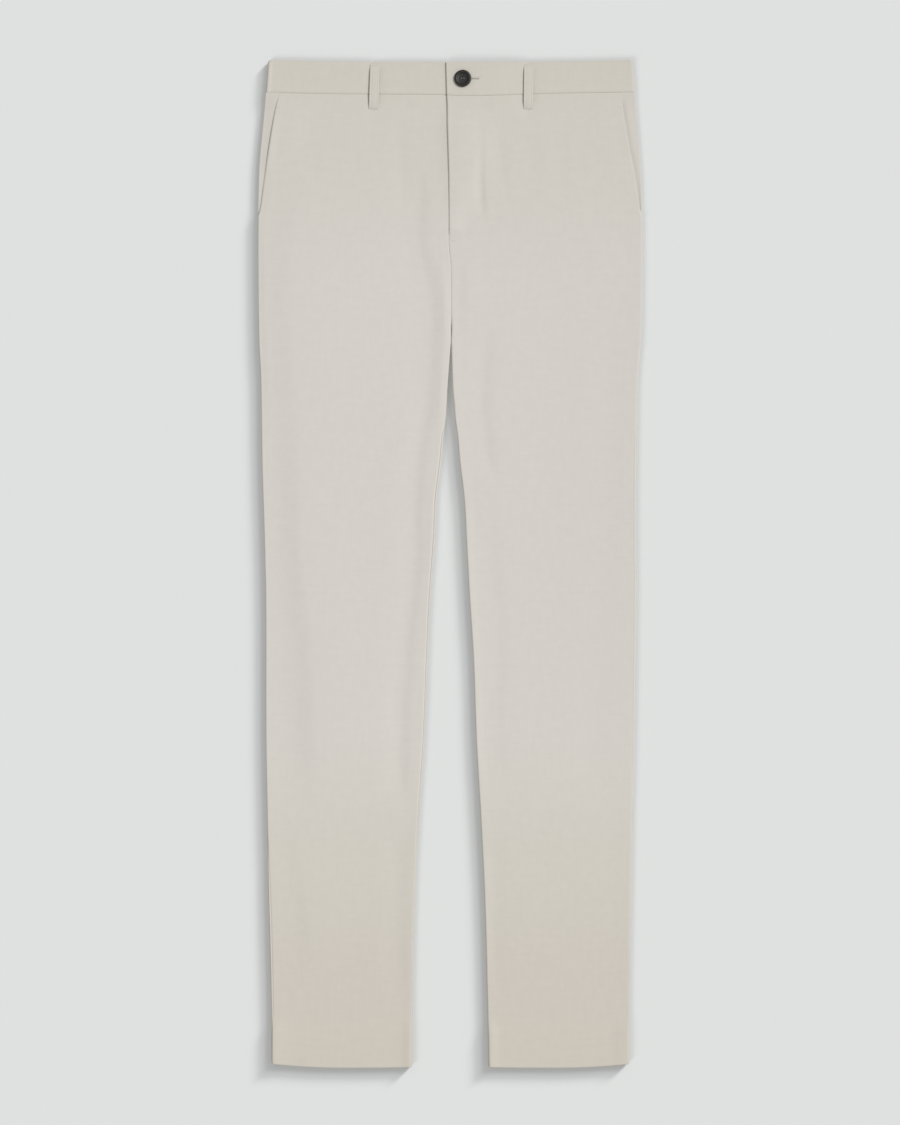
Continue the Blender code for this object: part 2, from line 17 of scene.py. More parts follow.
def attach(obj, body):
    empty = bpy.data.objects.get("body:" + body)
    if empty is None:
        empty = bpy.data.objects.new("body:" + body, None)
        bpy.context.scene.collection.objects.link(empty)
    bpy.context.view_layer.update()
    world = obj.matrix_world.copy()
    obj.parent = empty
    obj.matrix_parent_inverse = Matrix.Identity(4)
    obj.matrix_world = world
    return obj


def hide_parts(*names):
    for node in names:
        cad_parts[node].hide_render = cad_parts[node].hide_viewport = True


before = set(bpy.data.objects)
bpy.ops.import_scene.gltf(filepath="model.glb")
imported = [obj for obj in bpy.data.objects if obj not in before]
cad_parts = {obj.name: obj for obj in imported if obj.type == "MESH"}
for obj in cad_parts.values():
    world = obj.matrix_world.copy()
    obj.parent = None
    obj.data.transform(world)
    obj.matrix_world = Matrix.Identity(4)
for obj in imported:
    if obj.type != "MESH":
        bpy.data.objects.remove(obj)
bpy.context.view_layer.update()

MM = 0.001


def metres(across, up, height):
    """A place or a size in millimetres, turned into Blender's metres."""
    return across * MM, up * MM, height * MM


scene = bpy.context.scene

# %% [markdown]
# ## Camera
# A garment on a table is photographed from straight above. A long lens far away keeps the legs
# parallel. An orthographic camera would do that too, but a real lens lets the other views work.
# The picture is 900 by 1125 pixels, and one of its pixels covers PIXEL millimetres of table.

# %% The camera, straight above
PIXEL = 1.13
PICTURE_HEIGHT = 1125
LENS = 85.0
SENSOR = 36.0
SIGHT = 20.0  # metres
FRAME_MIDDLE = (0.0, 1.7)
CLOTH_LEVEL = 5.0

distance = LENS / SENSOR * PICTURE_HEIGHT * PIXEL
camera_data = bpy.data.cameras.new("camera")
camera_data.lens = LENS
camera_data.sensor_width = SENSOR
camera_data.clip_end = SIGHT
camera = bpy.data.objects.new("camera", camera_data)
camera.location = metres(*FRAME_MIDDLE, distance + CLOTH_LEVEL)
scene.collection.objects.link(camera)
scene.camera = camera
print("the camera hangs", round(distance), "mm above the cloth")

# %% [markdown]
# ## Table and light
# The table is one pale sheet, and light comes from all round it. The photograph has a wide soft
# shadow to the lower left, as a very low light gives, and a narrow one all round, but no bright
# rims on the edges that would face such lights. So three lower lights reach the table alone: two
# share the shadow, a near and a far one, so that it fades evenly, and one gives the narrow one. A
# higher light reaches the cloth alone. The table throws no light back either, so that the cloth's
# turned edges stay as dark as they are in the photograph.

# %% A pale table
TABLE_HALF = 4000.0
TABLE_DROP = 0.3
TABLE_COLOUR = (0.792, 0.807, 0.799, 1.0)


def new_finish(name, **inputs):
    """A material and its shader. The inputs have Blender's names, with _ for each space."""
    material = bpy.data.materials.new(name)
    material.use_nodes = True
    shader = material.node_tree.nodes["Principled BSDF"]
    for key, value in inputs.items():
        shader.inputs[key.replace("_", " ")].default_value = value
    return material, shader


def add_object(bm, name, smooth=False):
    """Puts a mesh that is ready into the scene, as an object at the origin."""
    mesh = bpy.data.meshes.new(name)
    bm.to_mesh(mesh)
    bm.free()
    if smooth:
        mesh.shade_smooth()
    obj = bpy.data.objects.new(name, mesh)
    scene.collection.objects.link(obj)
    return obj


table_material, _ = new_finish(
    "table_paint", Base_Color=TABLE_COLOUR, Roughness=1.0, Specular_IOR_Level=0.0
)
bm = bmesh.new()
bmesh.ops.create_grid(bm, x_segments=2, y_segments=2, size=TABLE_HALF * MM)
bmesh.ops.translate(bm, verts=bm.verts, vec=metres(0.0, 0.0, -TABLE_DROP))
table = add_object(bm, "table")
table.data.materials.append(table_material)
table.visible_diffuse = False
print("the table is", 2 * TABLE_HALF * MM, "metres wide")

# %% The lights
WORLD_STRENGTH = 0.42
WORLD_COLOUR = (1.0, 1.0, 1.0, 1.0)
LIGHT_AWAY = 3.0  # metres, where the mark of a light stands


def add_sun(name, azimuth, elevation, wide, strength, table_state):
    """A far light, wide degrees across. It reaches the table alone, or everything but the table."""
    data = bpy.data.lights.new(name, "SUN")
    data.angle = math.radians(wide)
    data.energy = strength
    light = bpy.data.objects.new(name, data)
    turn, rise = math.radians(azimuth), math.radians(elevation)
    level = math.cos(rise)
    towards = Vector((math.sin(turn) * level, math.cos(turn) * level, math.sin(rise)))
    light.location = towards * LIGHT_AWAY
    light.rotation_mode = "QUATERNION"
    light.rotation_quaternion = towards.to_track_quat("Z", "Y")
    scene.collection.objects.link(light)
    reached = bpy.data.collections.new(f"{name}_reaches")
    reached.objects.link(table)
    reached.collection_objects[0].light_linking.link_state = table_state
    light.light_linking.receiver_collection = reached
    return light


# azimuth from +Y towards +X, elevation, width, strength, whether the table is included.
add_sun("far_shadow_light", 45.0, 13.9, 9.0, 2.61, "INCLUDE")
add_sun("near_shadow_light", 45.0, 25.0, 22.0, 1.42, "INCLUDE")
add_sun("halo_light", 225.0, 32.0, 25.0, 0.72, "INCLUDE")
add_sun("cloth_light", 70.0, 56.0, 16.0, 1.78, "EXCLUDE")

world = bpy.data.worlds.new("studio")
world.use_nodes = True
background = world.node_tree.nodes["Background"]
background.inputs["Color"].default_value = WORLD_COLOUR
background.inputs["Strength"].default_value = WORLD_STRENGTH
scene.world = world
scene.view_settings.view_transform = "Standard"

# %% [markdown]
# ## The maker's sizes
# The solids were made from a few measures and short tables. The shells repeat them, so that each
# lies where its solid lay. A few rows were then moved up to 2 mm, to follow the photograph closer.
# "Down" is the distance below the top of the waist, and "across" runs from the middle of the
# garment towards the wearer's left.

# %% Driving sizes
LENGTH = 1139.0
WAIST_DIP = 2.4
WAIST_DIP_FADES = 120.0
WAIST_HALF = 206.0
BAND_HEIGHT = 36.9
CROTCH_DOWN = 320.0
HEM_DEPTH = 24.0
HEM_CORNER_LIFT = 4.6
HEM_INNER_LIFT = 1.0
HEM_CURVE_STARTS = 1040.0

SEAM_GAP = 0.04
ROOM = 0.1
SOLID_GAP = 0.3
SOLID_BAND_WALL = 2.2
ROLL = 2.2
HEM_ROLL = 2.9
HEM_ROLL_STARTS = 1080.0
HEM_ROLL_FULL = 1102.0
FACING_ROLL = 0.9
LIP = 0.3

RIGHT = -1
LEFT = 1
SIDE_NAMES = ((RIGHT, "right"), (LEFT, "left"))

# %% Outer edges, inner edges, fly and pockets
# down, right side, left side.
SIDES = (
    (0, -205.7, 206.8),
    (38, -208.5, 209.1),
    (79, -212.4, 212.4),
    (113, -215.6, 214.9),
    (147, -217.0, 216.8),
    (226, -217.5, 217.4),
    (316, -216.4, 216.4),
    (362, -214.2, 212.6),
    (452, -212.9, 210.7),
    (542, -210.2, 210.3),
    (610, -208.7, 210.6),
    (768, -208.4, 208.5),
    (859, -206.8, 206.2),
    (949, -205.1, 204.5),
    (1062, -202.3, 202.8),
    (1139, -201.7, 202.6),
)
# down, right leg, left leg.
INSEAMS = (
    (320, 0.95, 1.25),
    (371, -2.8, 2.8),
    (389, -3.8, 4.4),
    (407, -5.2, 5.8),
    (424, -7.3, 8.2),
    (452, -9.4, 10.6),
    (497, -14.8, 15.8),
    (542, -17.0, 18.2),
    (610, -22.0, 21.9),
    (678, -25.2, 26.2),
    (768, -28.9, 29.4),
    (859, -35.2, 34.6),
    (949, -39.9, 38.9),
    (1062, -42.4, 41.9),
    (1139, -42.9, 43.4),
)
# down, across.
CENTRE_FRONT = (
    (0, -4.7),
    (38, -3.6),
    (46, -3.1),
    (71, -2.9),
    (105, -1.9),
    (140, -1.2),
    (194, -1.0),
    (207, -1.3),
    (221, -0.1),
    (234, 1.1),
    (305, 1.4),
    (320, 1.1),
)
# across, how much lower the waistband seam lies.
SEAM_BOW = (
    (-206, -0.6),
    (-150, -0.3),
    (-60, -0.5),
    (-10, -0.3),
    (5, 0.9),
    (40, 1.2),
    (70, 0.3),
    (110, -0.9),
    (155, -1.1),
    (206, -0.8),
)
# down, right front, left front.
POCKET_SLANTS = (
    (37, -193.3, 192.8),
    (59, -198.0, 196.0),
    (94, -203.9, 201.9),
    (129, -209.1, 208.9),
    (165, -213.9, 214.2),
    (173, -215.5, 215.6),
)
POCKET_END = 168.0
POCKET_CLOSED = 177.0
POCKET_RISES = 100.0
FACING_UNDER = 16.0
FACING_SLOPE = 12.0
FACING_LEVEL = {RIGHT: 4.4, LEFT: 3.9}
FACING_CROWN = 3.6
FACING_VALLEY = {RIGHT: 0.1, LEFT: 0.8}
FACING_VALLEY_WIDTH = 3.2
FACING_BELOW_BAND = 0.45
FACING_UNDER_FRONT = 1.6
FACING_SINKS_OVER = 3.0
POCKET_SLOPE = 30.0
POCKET_LIFTED_WIDTH = 18.0
POCKET_STEP = 1.35
POCKET_SEWN = 54.0
# down, height.
REST_HEIGHT = (
    (37, 4.9),
    (100, 5.0),
    (200, 5.05),
    (320, 5.1),
    (450, 5.1),
    (800, 5.1),
    (1000, 5.1),
    (1085, 5.3),
    (1106, 5.9),
    (1139, 6.0),
)
SIDE_SLOPE = 20.0
INSEAM_SLOPE = 11.0
CROTCH_SWELL = 34.0

UNDERLAP = 9.0
UNDERLAP_NARROWS = 178.0
UNDERLAP_ENDS = 190.0
FLY_SETTLES = 202.0
FLY_SLOPE = 56.0
FLY_RISE = 6.1
FLY_RISE_WIDTH = 15.0
FLY_LIFT = 2.2
FLY_LIFT_AT_END = 1.5
FLY_LOWERS = 100.0
FLY_WIDTH_AT_END = 0.35
FLY_LIFTED_WIDTH = 9.0
FLY_EDGE_DIPS = {RIGHT: 0.15, LEFT: 0.7}
FLY_EDGE_SOFTNESS = 0.6
FLY_FACING_WIDTH = 34.0
FLY_FACING_SWELL = 0.2
FLY_FACING_SLOPE = 8.0
CURL_STARTS = 284.0
CURL_FULL = CROTCH_DOWN - 2.0
CENTRE_BACK_DRIFT = 1.1
print("trouser length", LENGTH, "mm, waist across", SIDES[0][2] - SIDES[0][1], "mm")

# %% [markdown]
# ## Reading the tables
# A table has a row for each height that was measured. A smooth curve through its rows gives the
# cloth between them. Straight lines would leave a corner in the edge at each row.

# %% Curves through a table
def blend(start, end, share):
    return start + (end - start) * share


def ease(share):
    """0 below 0, 1 above 1, with a level start and end."""
    share = min(1.0, max(0.0, share))
    return share * share * (3.0 - 2.0 * share)


def bell(distance_out, reach):
    return math.exp(-((distance_out / reach) ** 2))


def climb(at, start, end):
    """0 up to the start and 1 from the end on, with a smooth rise between them."""
    return ease((at - start) / (end - start))


def arch(share):
    """0 at both ends of a stretch, and 1 in its middle."""
    return math.sin(math.pi * min(1.0, max(0.0, share)))


def read(table_rows, column, at):
    """The value of a column there, on a smooth curve through the rows."""
    at = min(max(at, table_rows[0][0]), table_rows[-1][0])
    last = len(table_rows) - 1
    i = next(k for k in range(last) if at <= table_rows[k + 1][0])
    before, here, there, after = (
        table_rows[max(0, min(last, k))] for k in (i - 1, i, i + 1, i + 2)
    )
    step = there[0] - here[0]
    share = (at - here[0]) / step
    slope_here = (there[column] - before[column]) / (there[0] - before[0])
    slope_there = (after[column] - here[column]) / (after[0] - here[0])
    square, cube = share * share, share * share * share
    return (
        (2 * cube - 3 * square + 1) * here[column]
        + (cube - 2 * square + share) * step * slope_here
        + (3 * square - 2 * cube) * there[column]
        + (cube - square) * step * slope_there
    )


print("the waist is", round(read(SIDES, 2, 20) - read(SIDES, 1, 20), 1), "mm across in the band")

# %% [markdown]
# ## Where the edges of a panel lie
# Each leg is a tube that was pressed flat, so its seams lie on a rolled edge. Above the crotch
# the two fronts meet in the middle, and the left one laps over the right one along the fly.

# %% Edges of the fronts and backs
def side_column(side):
    return 1 if side == RIGHT else 2


def side_edge(side, down):
    return read(SIDES, side_column(side), down)


def back_inner_edge(side, down):
    if down >= CROTCH_DOWN:
        return read(INSEAMS, side_column(side), down)
    return CENTRE_BACK_DRIFT * ease(down / CROTCH_DOWN) + side * SEAM_GAP / 2


def front_inner_edge(side, down):
    if down >= CROTCH_DOWN:
        return read(INSEAMS, side_column(side), down)
    seam = read(CENTRE_FRONT, 1, down)
    if side == LEFT:
        return seam + SEAM_GAP / 2
    narrowing = climb(down, UNDERLAP_NARROWS, UNDERLAP_ENDS)
    return seam + blend(UNDERLAP, -SEAM_GAP / 2, narrowing)


def side_closing(down):
    """0 along the pocket opening, where the front's edge lies free, and 1 below it."""
    return climb(down, POCKET_END, POCKET_CLOSED)


def side_rise(down):
    """0 where a front lies over the pocket facing, and 1 where it has risen to its rolled edge."""
    return climb(down, POCKET_RISES, POCKET_CLOSED)


def front_outer_edge(side, down):
    if down >= POCKET_CLOSED:
        return side_edge(side, down)
    slant = read(POCKET_SLANTS, side_column(side), down)
    return blend(slant, side_edge(side, down), side_closing(down))


def crotch_curl(down):
    """0 where a centre seam lies flat, and 1 from the crotch down, where the edge is rolled."""
    return climb(down, CURL_STARTS, CURL_FULL)


def hem_bulk(down):
    return climb(down, HEM_ROLL_STARTS, HEM_ROLL_FULL)


def roll_at(down):
    return blend(ROLL, HEM_ROLL, hem_bulk(down))


def crown_at(down):
    """The height of a rolled edge."""
    return 2 * (roll_at(down) + LIP) + SOLID_GAP + blend(ROOM, 4 * ROOM, hem_bulk(down))


for at in (400, 800, 1139):
    print("leg width", at, "mm down:", round(side_edge(LEFT, at) - front_inner_edge(LEFT, at), 1))

# %% [markdown]
# ## Folds
# The cloth keeps a few long, shallow folds from being worn and folded. The light comes from the
# right, so what shows of a fold is its flank that faces left, as a soft dark line. So each row
# below gives the course of that flank. A ridge lies to the right of it and a trough to the left,
# and each has its own half-width on either side. They are placed one by one, and none is higher or
# deeper than 3 mm, because such a fold would look like a pleat.

# %% The folds of the fronts
# height, half-width on the left, half-width on the right, course as (across, down).
FOLDS = (
    (3.0, 30, 90, ((-182, 70), (-188, 150), (-196, 220), (-196, 300), (-188, 400), (-182, 540))),
    (2.7, 20, 70, ((-186, 380), (-182, 470), (-178, 560), (-167, 678), (-162, 780), (-160, 880))),
    (0.75, 10, 45, ((-190, 840), (-174, 904), (-164, 992), (-162, 1060))),
    (-1.4, 30, 9, ((-36, 106), (-28, 147), (-31, 203), (-17, 268), (-18, 335), (-21, 410))),
    (0.7, 10, 5, ((-14, 215), (-10, 270), (-11, 350), (-16, 430))),
    (-1.5, 17, 8, ((-19, 356), (-22, 390), (-33, 475), (-35, 565), (-44, 655), (-50, 738),
                   (-50, 850))),
    (-0.7, 14, 8, ((-53, 860), (-54, 981), (-53, 1068))),
    (-0.45, 10, 6, ((-50, 50), (-51, 100), (-49, 175))),
    (-0.8, 7, 3.0, ((36.6, 40), (36.9, 115), (37.2, 150), (40, 185))),
    (-0.7, 6, 3.0, ((37.2, 84), (37.4, 140), (40.5, 196))),
    (-0.42, 10, 6, ((60, 70), (61, 113), (71, 176))),
    (-0.35, 12, 9, ((94, 60), (98, 110), (97, 160))),
    (-0.32, 12, 7, ((128, 54), (131, 110), (130, 170))),
    (0.6, 6, 17, ((19, 214), (16, 262), (14, 312))),
    (-1.4, 60, 60, ((172, 150), (165, 300), (160, 600), (160, 830))),
    (-1.0, 15, 8, ((50, 290), (42, 379), (48, 452), (60, 488))),
    (-0.75, 20, 10, ((50, 500), (53, 570), (60, 655), (58, 757), (60, 830))),
    (-0.5, 22, 16, ((198, 240), (192, 360), (184, 560), (176, 700), (180, 860))),
    (-0.35, 14, 9, ((60, 860), (56, 960), (58, 1060))),
)
FOLD_TAPER = 45.0
TAPER_SHARE = 1.6
LONGEST_TAPER = 0.4
FOLD_MARGIN = 9.0
FLANK = 0.7


def folds_at(down):
    """The height, middle and two half-widths of each fold that crosses this row."""
    crossing = []
    for height, left_width, right_width, course in FOLDS:
        start, end = course[0][1], course[-1][1]
        if start < down < end:
            taper = max(FOLD_TAPER, TAPER_SHARE * (left_width + right_width))
            taper = min(taper, LONGEST_TAPER * (end - start))
            along = ease(min(down - start, end - down) / taper)
            flank = read(tuple((d, a) for a, d in course), 1, down)
            middle = flank + FLANK * (left_width if height > 0 else -right_width)
            crossing.append((height * along, middle, left_width, right_width))
    return crossing


def fold_height(crossing, across):
    return sum(
        height * bell(across - middle, left_width if across < middle else right_width)
        for height, middle, left_width, right_width in crossing
    )


print(len(FOLDS), "folds, from", min(FOLDS)[0], "to", max(FOLDS)[0], "mm")

# %% [markdown]
# ## How high the front lies
# The front rests a few millimetres above the table: it rises over the rolled seams, over the
# pocket facings and over the fly, where up to four layers lie on each other.

# %% The height of the front
POCKET_GAPE = {RIGHT: 0.8, LEFT: 0.1}
GAPE_START = 50.0
GAPE_END = 132.0
GAPE_FADES = 12.0
BAND_REST_HEIGHT = 5.15
BAND_WAVE = 0.12
BAND_WAVE_LENGTH = 195.0
BAND_WAVE_GROWS = 105.0
BAND_RAMP_START = 43.0
BAND_RAMP_END = 105.0
BAND_UNDERLAP_RAMP = 40.0
BAND_STEP = 0.35
LOOP_MIDDLES = (-86.0, 88.1)
LOOP_PRESS = 1.0
LOOP_PRESS_REACH = 8.0
BAND_PULL = 40.0


def loop_press(across):
    """How far the cloth is pressed in under a belt loop, which is sewn through it."""
    return LOOP_PRESS * sum(bell(across - middle, LOOP_PRESS_REACH) for middle in LOOP_MIDDLES)


def band_height(across):
    wave = BAND_WAVE * math.sin(math.tau * across / BAND_WAVE_LENGTH)
    rise = ease((abs(across) - BAND_RAMP_START) / BAND_WAVE_GROWS)
    return BAND_REST_HEIGHT + wave * rise - loop_press(across)


def left_band_height(across):
    near = 1 - climb(across, BAND_RAMP_START, BAND_RAMP_END)
    return blend(band_height(across), 3 * SOLID_BAND_WALL + 2 * SOLID_GAP + ROOM, near)


def right_band_height(across):
    near = 1 - ease(-across / BAND_UNDERLAP_RAMP)
    return blend(band_height(across), 2 * SOLID_BAND_WALL + SOLID_GAP + ROOM / 2, near)


def facing_height(side, down, across, valley=0.0):
    """The facing slopes down to the side seam, and may lie in a little by the front's edge."""
    inset = abs(across - side_edge(side, down))
    height = blend(FACING_CROWN, FACING_LEVEL[side], ease((inset - FACING_ROLL) / FACING_SLOPE))
    under_front = side * (read(POCKET_SLANTS, side_column(side), down) - across)
    height -= valley * bell(under_front, FACING_VALLEY_WIDTH) * ease(inset / FACING_VALLEY_WIDTH)
    sinking = ease(under_front / FACING_SINKS_OVER)
    below_band = blend(FACING_BELOW_BAND, FACING_UNDER_FRONT, sinking)
    sewn = climb(down, BAND_HEIGHT, POCKET_SEWN)
    return blend(max(height, BAND_REST_HEIGHT - below_band), height, sewn)


def fly_height(side, down, across, height):
    """Both fronts rise to the fly, where the left one lies over the right one."""
    edge = read(CENTRE_FRONT, 1, down)
    open_fly = 1 - climb(down, UNDERLAP_ENDS, FLY_SETTLES)
    lower = climb(down, FLY_LOWERS, UNDERLAP_ENDS)
    rise = blend(FLY_RISE, height, lower)
    if side == RIGHT:
        near = 1 - min(1.0, max(0.0, (edge - across) / FLY_RISE_WIDTH))
        return blend(height, rise, near * near)
    narrower = blend(1.0, FLY_WIDTH_AT_END, lower)
    near = 1 - ease((across - edge - FLY_LIFTED_WIDTH * narrower) / (FLY_SLOPE * narrower))
    swell = FLY_FACING_SWELL * (1 - ease((across - edge - FLY_FACING_WIDTH) / FLY_FACING_SLOPE))
    lift = blend(FLY_LIFT, FLY_LIFT_AT_END, lower)
    return blend(height + swell * (1 - lower), rise + lift * open_fly, near)


def height_over_facing(side, down, across, height):
    """Beside an open pocket the front lies on the facing, and its edge may stand up a little."""
    over = facing_height(side, min(down, POCKET_END), across) + POCKET_STEP
    from_outer = abs(across - front_outer_edge(side, down))
    near = 1 - ease((from_outer - POCKET_LIFTED_WIDTH) / POCKET_SLOPE)
    gape = POCKET_GAPE[side] * arch((down - GAPE_START) / (GAPE_END - GAPE_START))
    over += gape * (1 - ease(from_outer / GAPE_FADES))
    past_seam = climb(down, BAND_HEIGHT, POCKET_SEWN)
    return blend(height, over, near * past_seam * (1 - side_rise(down)))


def front_height(side, down, across, crossing):
    """The height of a front's outer face, given the folds that cross its row."""
    outer, inner = front_outer_edge(side, down), front_inner_edge(side, down)
    from_outer, from_inner = abs(across - outer), abs(across - inner)
    roll = roll_at(down)
    by_side = side_rise(down) * (1 - ease((from_outer - roll) / SIDE_SLOPE))
    swelling = ease((down - CURL_STARTS) / CROTCH_SWELL + 1)
    by_inseam = swelling * (1 - ease((from_inner - roll) / INSEAM_SLOPE))
    height = blend(read(REST_HEIGHT, 1, down), crown_at(down), max(by_side, by_inseam))
    height += fold_height(crossing, across) * ease(min(from_outer, from_inner) / FOLD_MARGIN)
    if down < FLY_SETTLES:
        height = fly_height(side, down, across, height)
    if down < BAND_HEIGHT + BAND_PULL:
        band = left_band_height(across) if side == LEFT else right_band_height(across)
        height = blend(band - BAND_STEP, height, ease((down - BAND_HEIGHT) / BAND_PULL))
    if down < POCKET_CLOSED:
        height = height_over_facing(side, down, across, height)
    return height


print("height at the fly", round(front_height(LEFT, 120, 2, []), 2), "mm, and in the leg",
      round(front_height(LEFT, 700, 110, []), 2), "mm")

# %% [markdown]
# ## A rolled edge with its seam
# Seen from the end, a pressed leg makes a small oval turn at each side. The seam may sit at
# the widest point, or slide a few millimetres onto the front, as it does on these legs. So a
# point is placed by its distance along the cloth from the widest point, and the seam is just
# where the front's cloth ends and the back's begins. The last bit of cloth on each side of a
# seam bends inwards, which draws the fine line that a seam makes.

# %% Points of a rolled edge
# down, right side seam, right inseam, left side seam: how far a seam slides onto the front.
SEAM_SLIDES = (
    (384, 0.0, 0.0, 0.0),
    (430, 0.0, 4.4, 4.6),
    (516, 0.0, 4.8, 5.0),
    (716, 0.0, 4.2, 4.8),
    (814, 0.0, 4.0, 3.6),
    (859, 0.2, 3.8, 1.5),
    (893, 2.6, 3.2, 0.0),
    (938, 4.4, 1.2, 0.0),
    (1062, 4.4, 0.0, 0.0),
    (1107, 2.4, 0.0, 0.0),
    (1139, 1.2, 0.0, 0.0),
)
ROLL_SHARE = 0.75
HEM_ROLL_SHARE = 0.92
SIDE_SEAM, INSEAM = "side seam", "inseam"
SEAM_DIP = 0.30
LEG_SEAM_DIPS = {
    (RIGHT, SIDE_SEAM): 0.45,
    (RIGHT, INSEAM): 0.62,
    (LEFT, SIDE_SEAM): 0.10,
    (LEFT, INSEAM): 0.35,
}
SEAM_SOFTNESS = 0.75
BAND_SEAM_SOFTNESS = 1.0
BAND_SEAM_DIP = 0.5
TURNED_EDGE_DIPS = {RIGHT: 0.55, LEFT: 0.2}
TURNED_EDGE_SOFTNESS = 0.7


def seam_slide(side, seam, down):
    if down < SEAM_SLIDES[0][0] or (side == LEFT and seam == INSEAM):
        return 0.0
    column = 2 if seam == INSEAM else side_column(side) * 2 - 1
    return max(0.0, read(SEAM_SLIDES, column, down))


def rolled_point(out, roll, crown, share=1.0):
    """(inset, drop below the crown, inward direction) of a point that lies out along the cloth
    from the widest point, towards the front where out is positive. A share makes the roll oval."""
    flip = 1.0 if out >= 0 else -1.0
    upright = crown / 2 - roll
    reach = abs(out)
    if reach <= upright:
        inset, from_middle, inward = 0.0, reach, (1.0, 0.0)
    elif reach <= upright + roll * math.pi / 2:
        turn = (reach - upright) / roll
        inset = share * roll * (1 - math.cos(turn))
        from_middle = upright + roll * math.sin(turn)
        inward = Vector((math.cos(turn), -share * math.sin(turn))).normalized()
    else:
        inset = share * roll + reach - upright - roll * math.pi / 2
        from_middle, inward = crown / 2, (0.0, -1.0)
    return inset, crown / 2 - flip * from_middle, (inward[0], flip * inward[1])


print("a rolled edge is", round(crown_at(700), 2), "mm high, and", round(crown_at(1120), 2),
      "mm at the hem")

# %% [markdown]
# ## Rows and columns of a panel
# A panel is a grid: rows from the waistband seam to the hem, columns from its side edge to its
# inner edge. They stand close together at the seams and edges, where the cloth turns sharply,
# and wide apart in the middle. At the hem the rows go round the fold and a little way up inside.

# %% Rows, columns and the turned-up hem
HEM_LAYER = 2.2
HEM_FOLD = HEM_LAYER / 2
HEM_FOLD_STEPS = 8
HEM_ROWS = 10
# down, steps.
ROW_SPANS = (
    (39.0, 5),
    (43.0, 4),
    (POCKET_END, 46),
    (POCKET_CLOSED, 5),
    (UNDERLAP_ENDS, 9),
    (FLY_SETTLES, 10),
    (CURL_STARTS, 20),
    (CROTCH_DOWN, 16),
    (371.0, 16),
    (452.0, 22),
    (1062.0, 140),
    (1112.0, 16),
    (LENGTH - HEM_FOLD, 12),
)
# Distances along the cloth from a seam or an edge.
EDGE_STEPS = (
    0.0, 0.12, 0.3, 0.55, 0.85, 1.2, 1.6, 2.05, 2.55, 3.05, 3.6, 4.15, 4.7, 5.3, 6.0, 7.0,
    8.0, 9.0, 9.8, 10.8, 12.4, 15.0, 18.2, 22.0, 26.5,
)
FRONT_MIDDLE_COLUMNS = 56
BACK_MIDDLE_COLUMNS = 14


def panel_rows(start):
    """(down, depth inside the outer face, cloth used from the top) for each row of a panel."""
    rows = [start]
    for end, steps in ROW_SPANS:
        first = rows[-1]
        rows += [blend(first, end, (k + 1) / steps) for k in range(steps)]
    placed = [(down, 0.0, down) for down in rows]
    edge = LENGTH - HEM_FOLD
    for k in range(1, HEM_FOLD_STEPS + 1):
        turn = math.pi * k / HEM_FOLD_STEPS
        depth = HEM_FOLD * (1 - math.cos(turn))
        placed.append((edge + HEM_FOLD * math.sin(turn), depth, edge + HEM_FOLD * turn))
    used = edge + HEM_FOLD * math.pi
    turned_up = HEM_DEPTH - HEM_FOLD
    for k in range(1, HEM_ROWS + 1):
        up = turned_up * k / HEM_ROWS
        placed.append((edge - up, HEM_LAYER, used + up))
    return placed


PANEL_ROWS = panel_rows(BAND_HEIGHT + SEAM_GAP)
print(len(PANEL_ROWS), "rows, of which", HEM_ROWS, "lie inside the hem")

# %% [markdown]
# ## Sections
# One row of a panel is a section through the cloth. The front and the back share the rolled
# edge: where the seam has slid onto the front, the back's cloth wraps round the edge to meet it.

# %% A section through a front or a back
def waist_dip(across):
    """How much lower than its two ends the waist lies, which the whole top edge follows."""
    return WAIST_DIP * max(0.0, 1.0 - (across / WAIST_HALF) ** 2)


def seam_bow(across):
    """How much lower again the waistband seam lies. It lies lowest just beside the fly."""
    return read(SEAM_BOW, 1, across)


def hem_lift(side, down, across):
    """The hem rises a little towards the side seam, and less towards the inseam."""
    outer = side_edge(side, down)
    inner = read(INSEAMS, side_column(side), down)
    from_middle = (across - (outer + inner) / 2) / ((outer - inner) / 2)
    outwards, inwards = max(0.0, from_middle), min(0.0, from_middle)
    reach = HEM_CORNER_LIFT * outwards**2 + HEM_INNER_LIFT * inwards**4
    return reach * climb(down, HEM_CURVE_STARTS, LENGTH)


def place(side, down, across, height):
    """A point of a panel in metres, with the waist's dip and the hem's lift."""
    fading = 1 - ease((down - BAND_HEIGHT) / WAIST_DIP_FADES)
    sag = (waist_dip(across) + seam_bow(across)) * fading
    lift = hem_lift(side, down, across) if down > CROTCH_DOWN else 0.0
    return metres(across, LENGTH / 2 - down - sag + lift, height)


def edge_columns(side, seam, down, curl, is_front):
    """(inset, drop, inward direction, distance from the seam, on the front) by one edge."""
    roll, crown = roll_at(down), crown_at(down)
    slide = seam_slide(side, seam, down)
    oval = blend(ROLL_SHARE, HEM_ROLL_SHARE, hem_bulk(down))
    way = 1.0 if is_front else -1.0
    columns = []
    for step in EDGE_STEPS:
        out = slide + way * (SEAM_GAP / 2 + step)
        inset, drop, inward = rolled_point(out, roll, crown, oval)
        drop = curl * drop if out > 0 else crown - curl * (crown - drop)
        inward = (blend(0.0, inward[0], curl), blend(-way, inward[1], curl))
        columns.append((blend(step, inset, curl), drop, inward, step, out > 0))
    return columns


def edge_dip(step, seam_dip, closed, turned_dip, turned_softness):
    """How far the cloth bends inwards by a seam, or by a turned edge that lies free."""
    by_edge = turned_dip * bell(step, turned_softness)
    return blend(by_edge, seam_dip * bell(step, SEAM_SOFTNESS), closed)


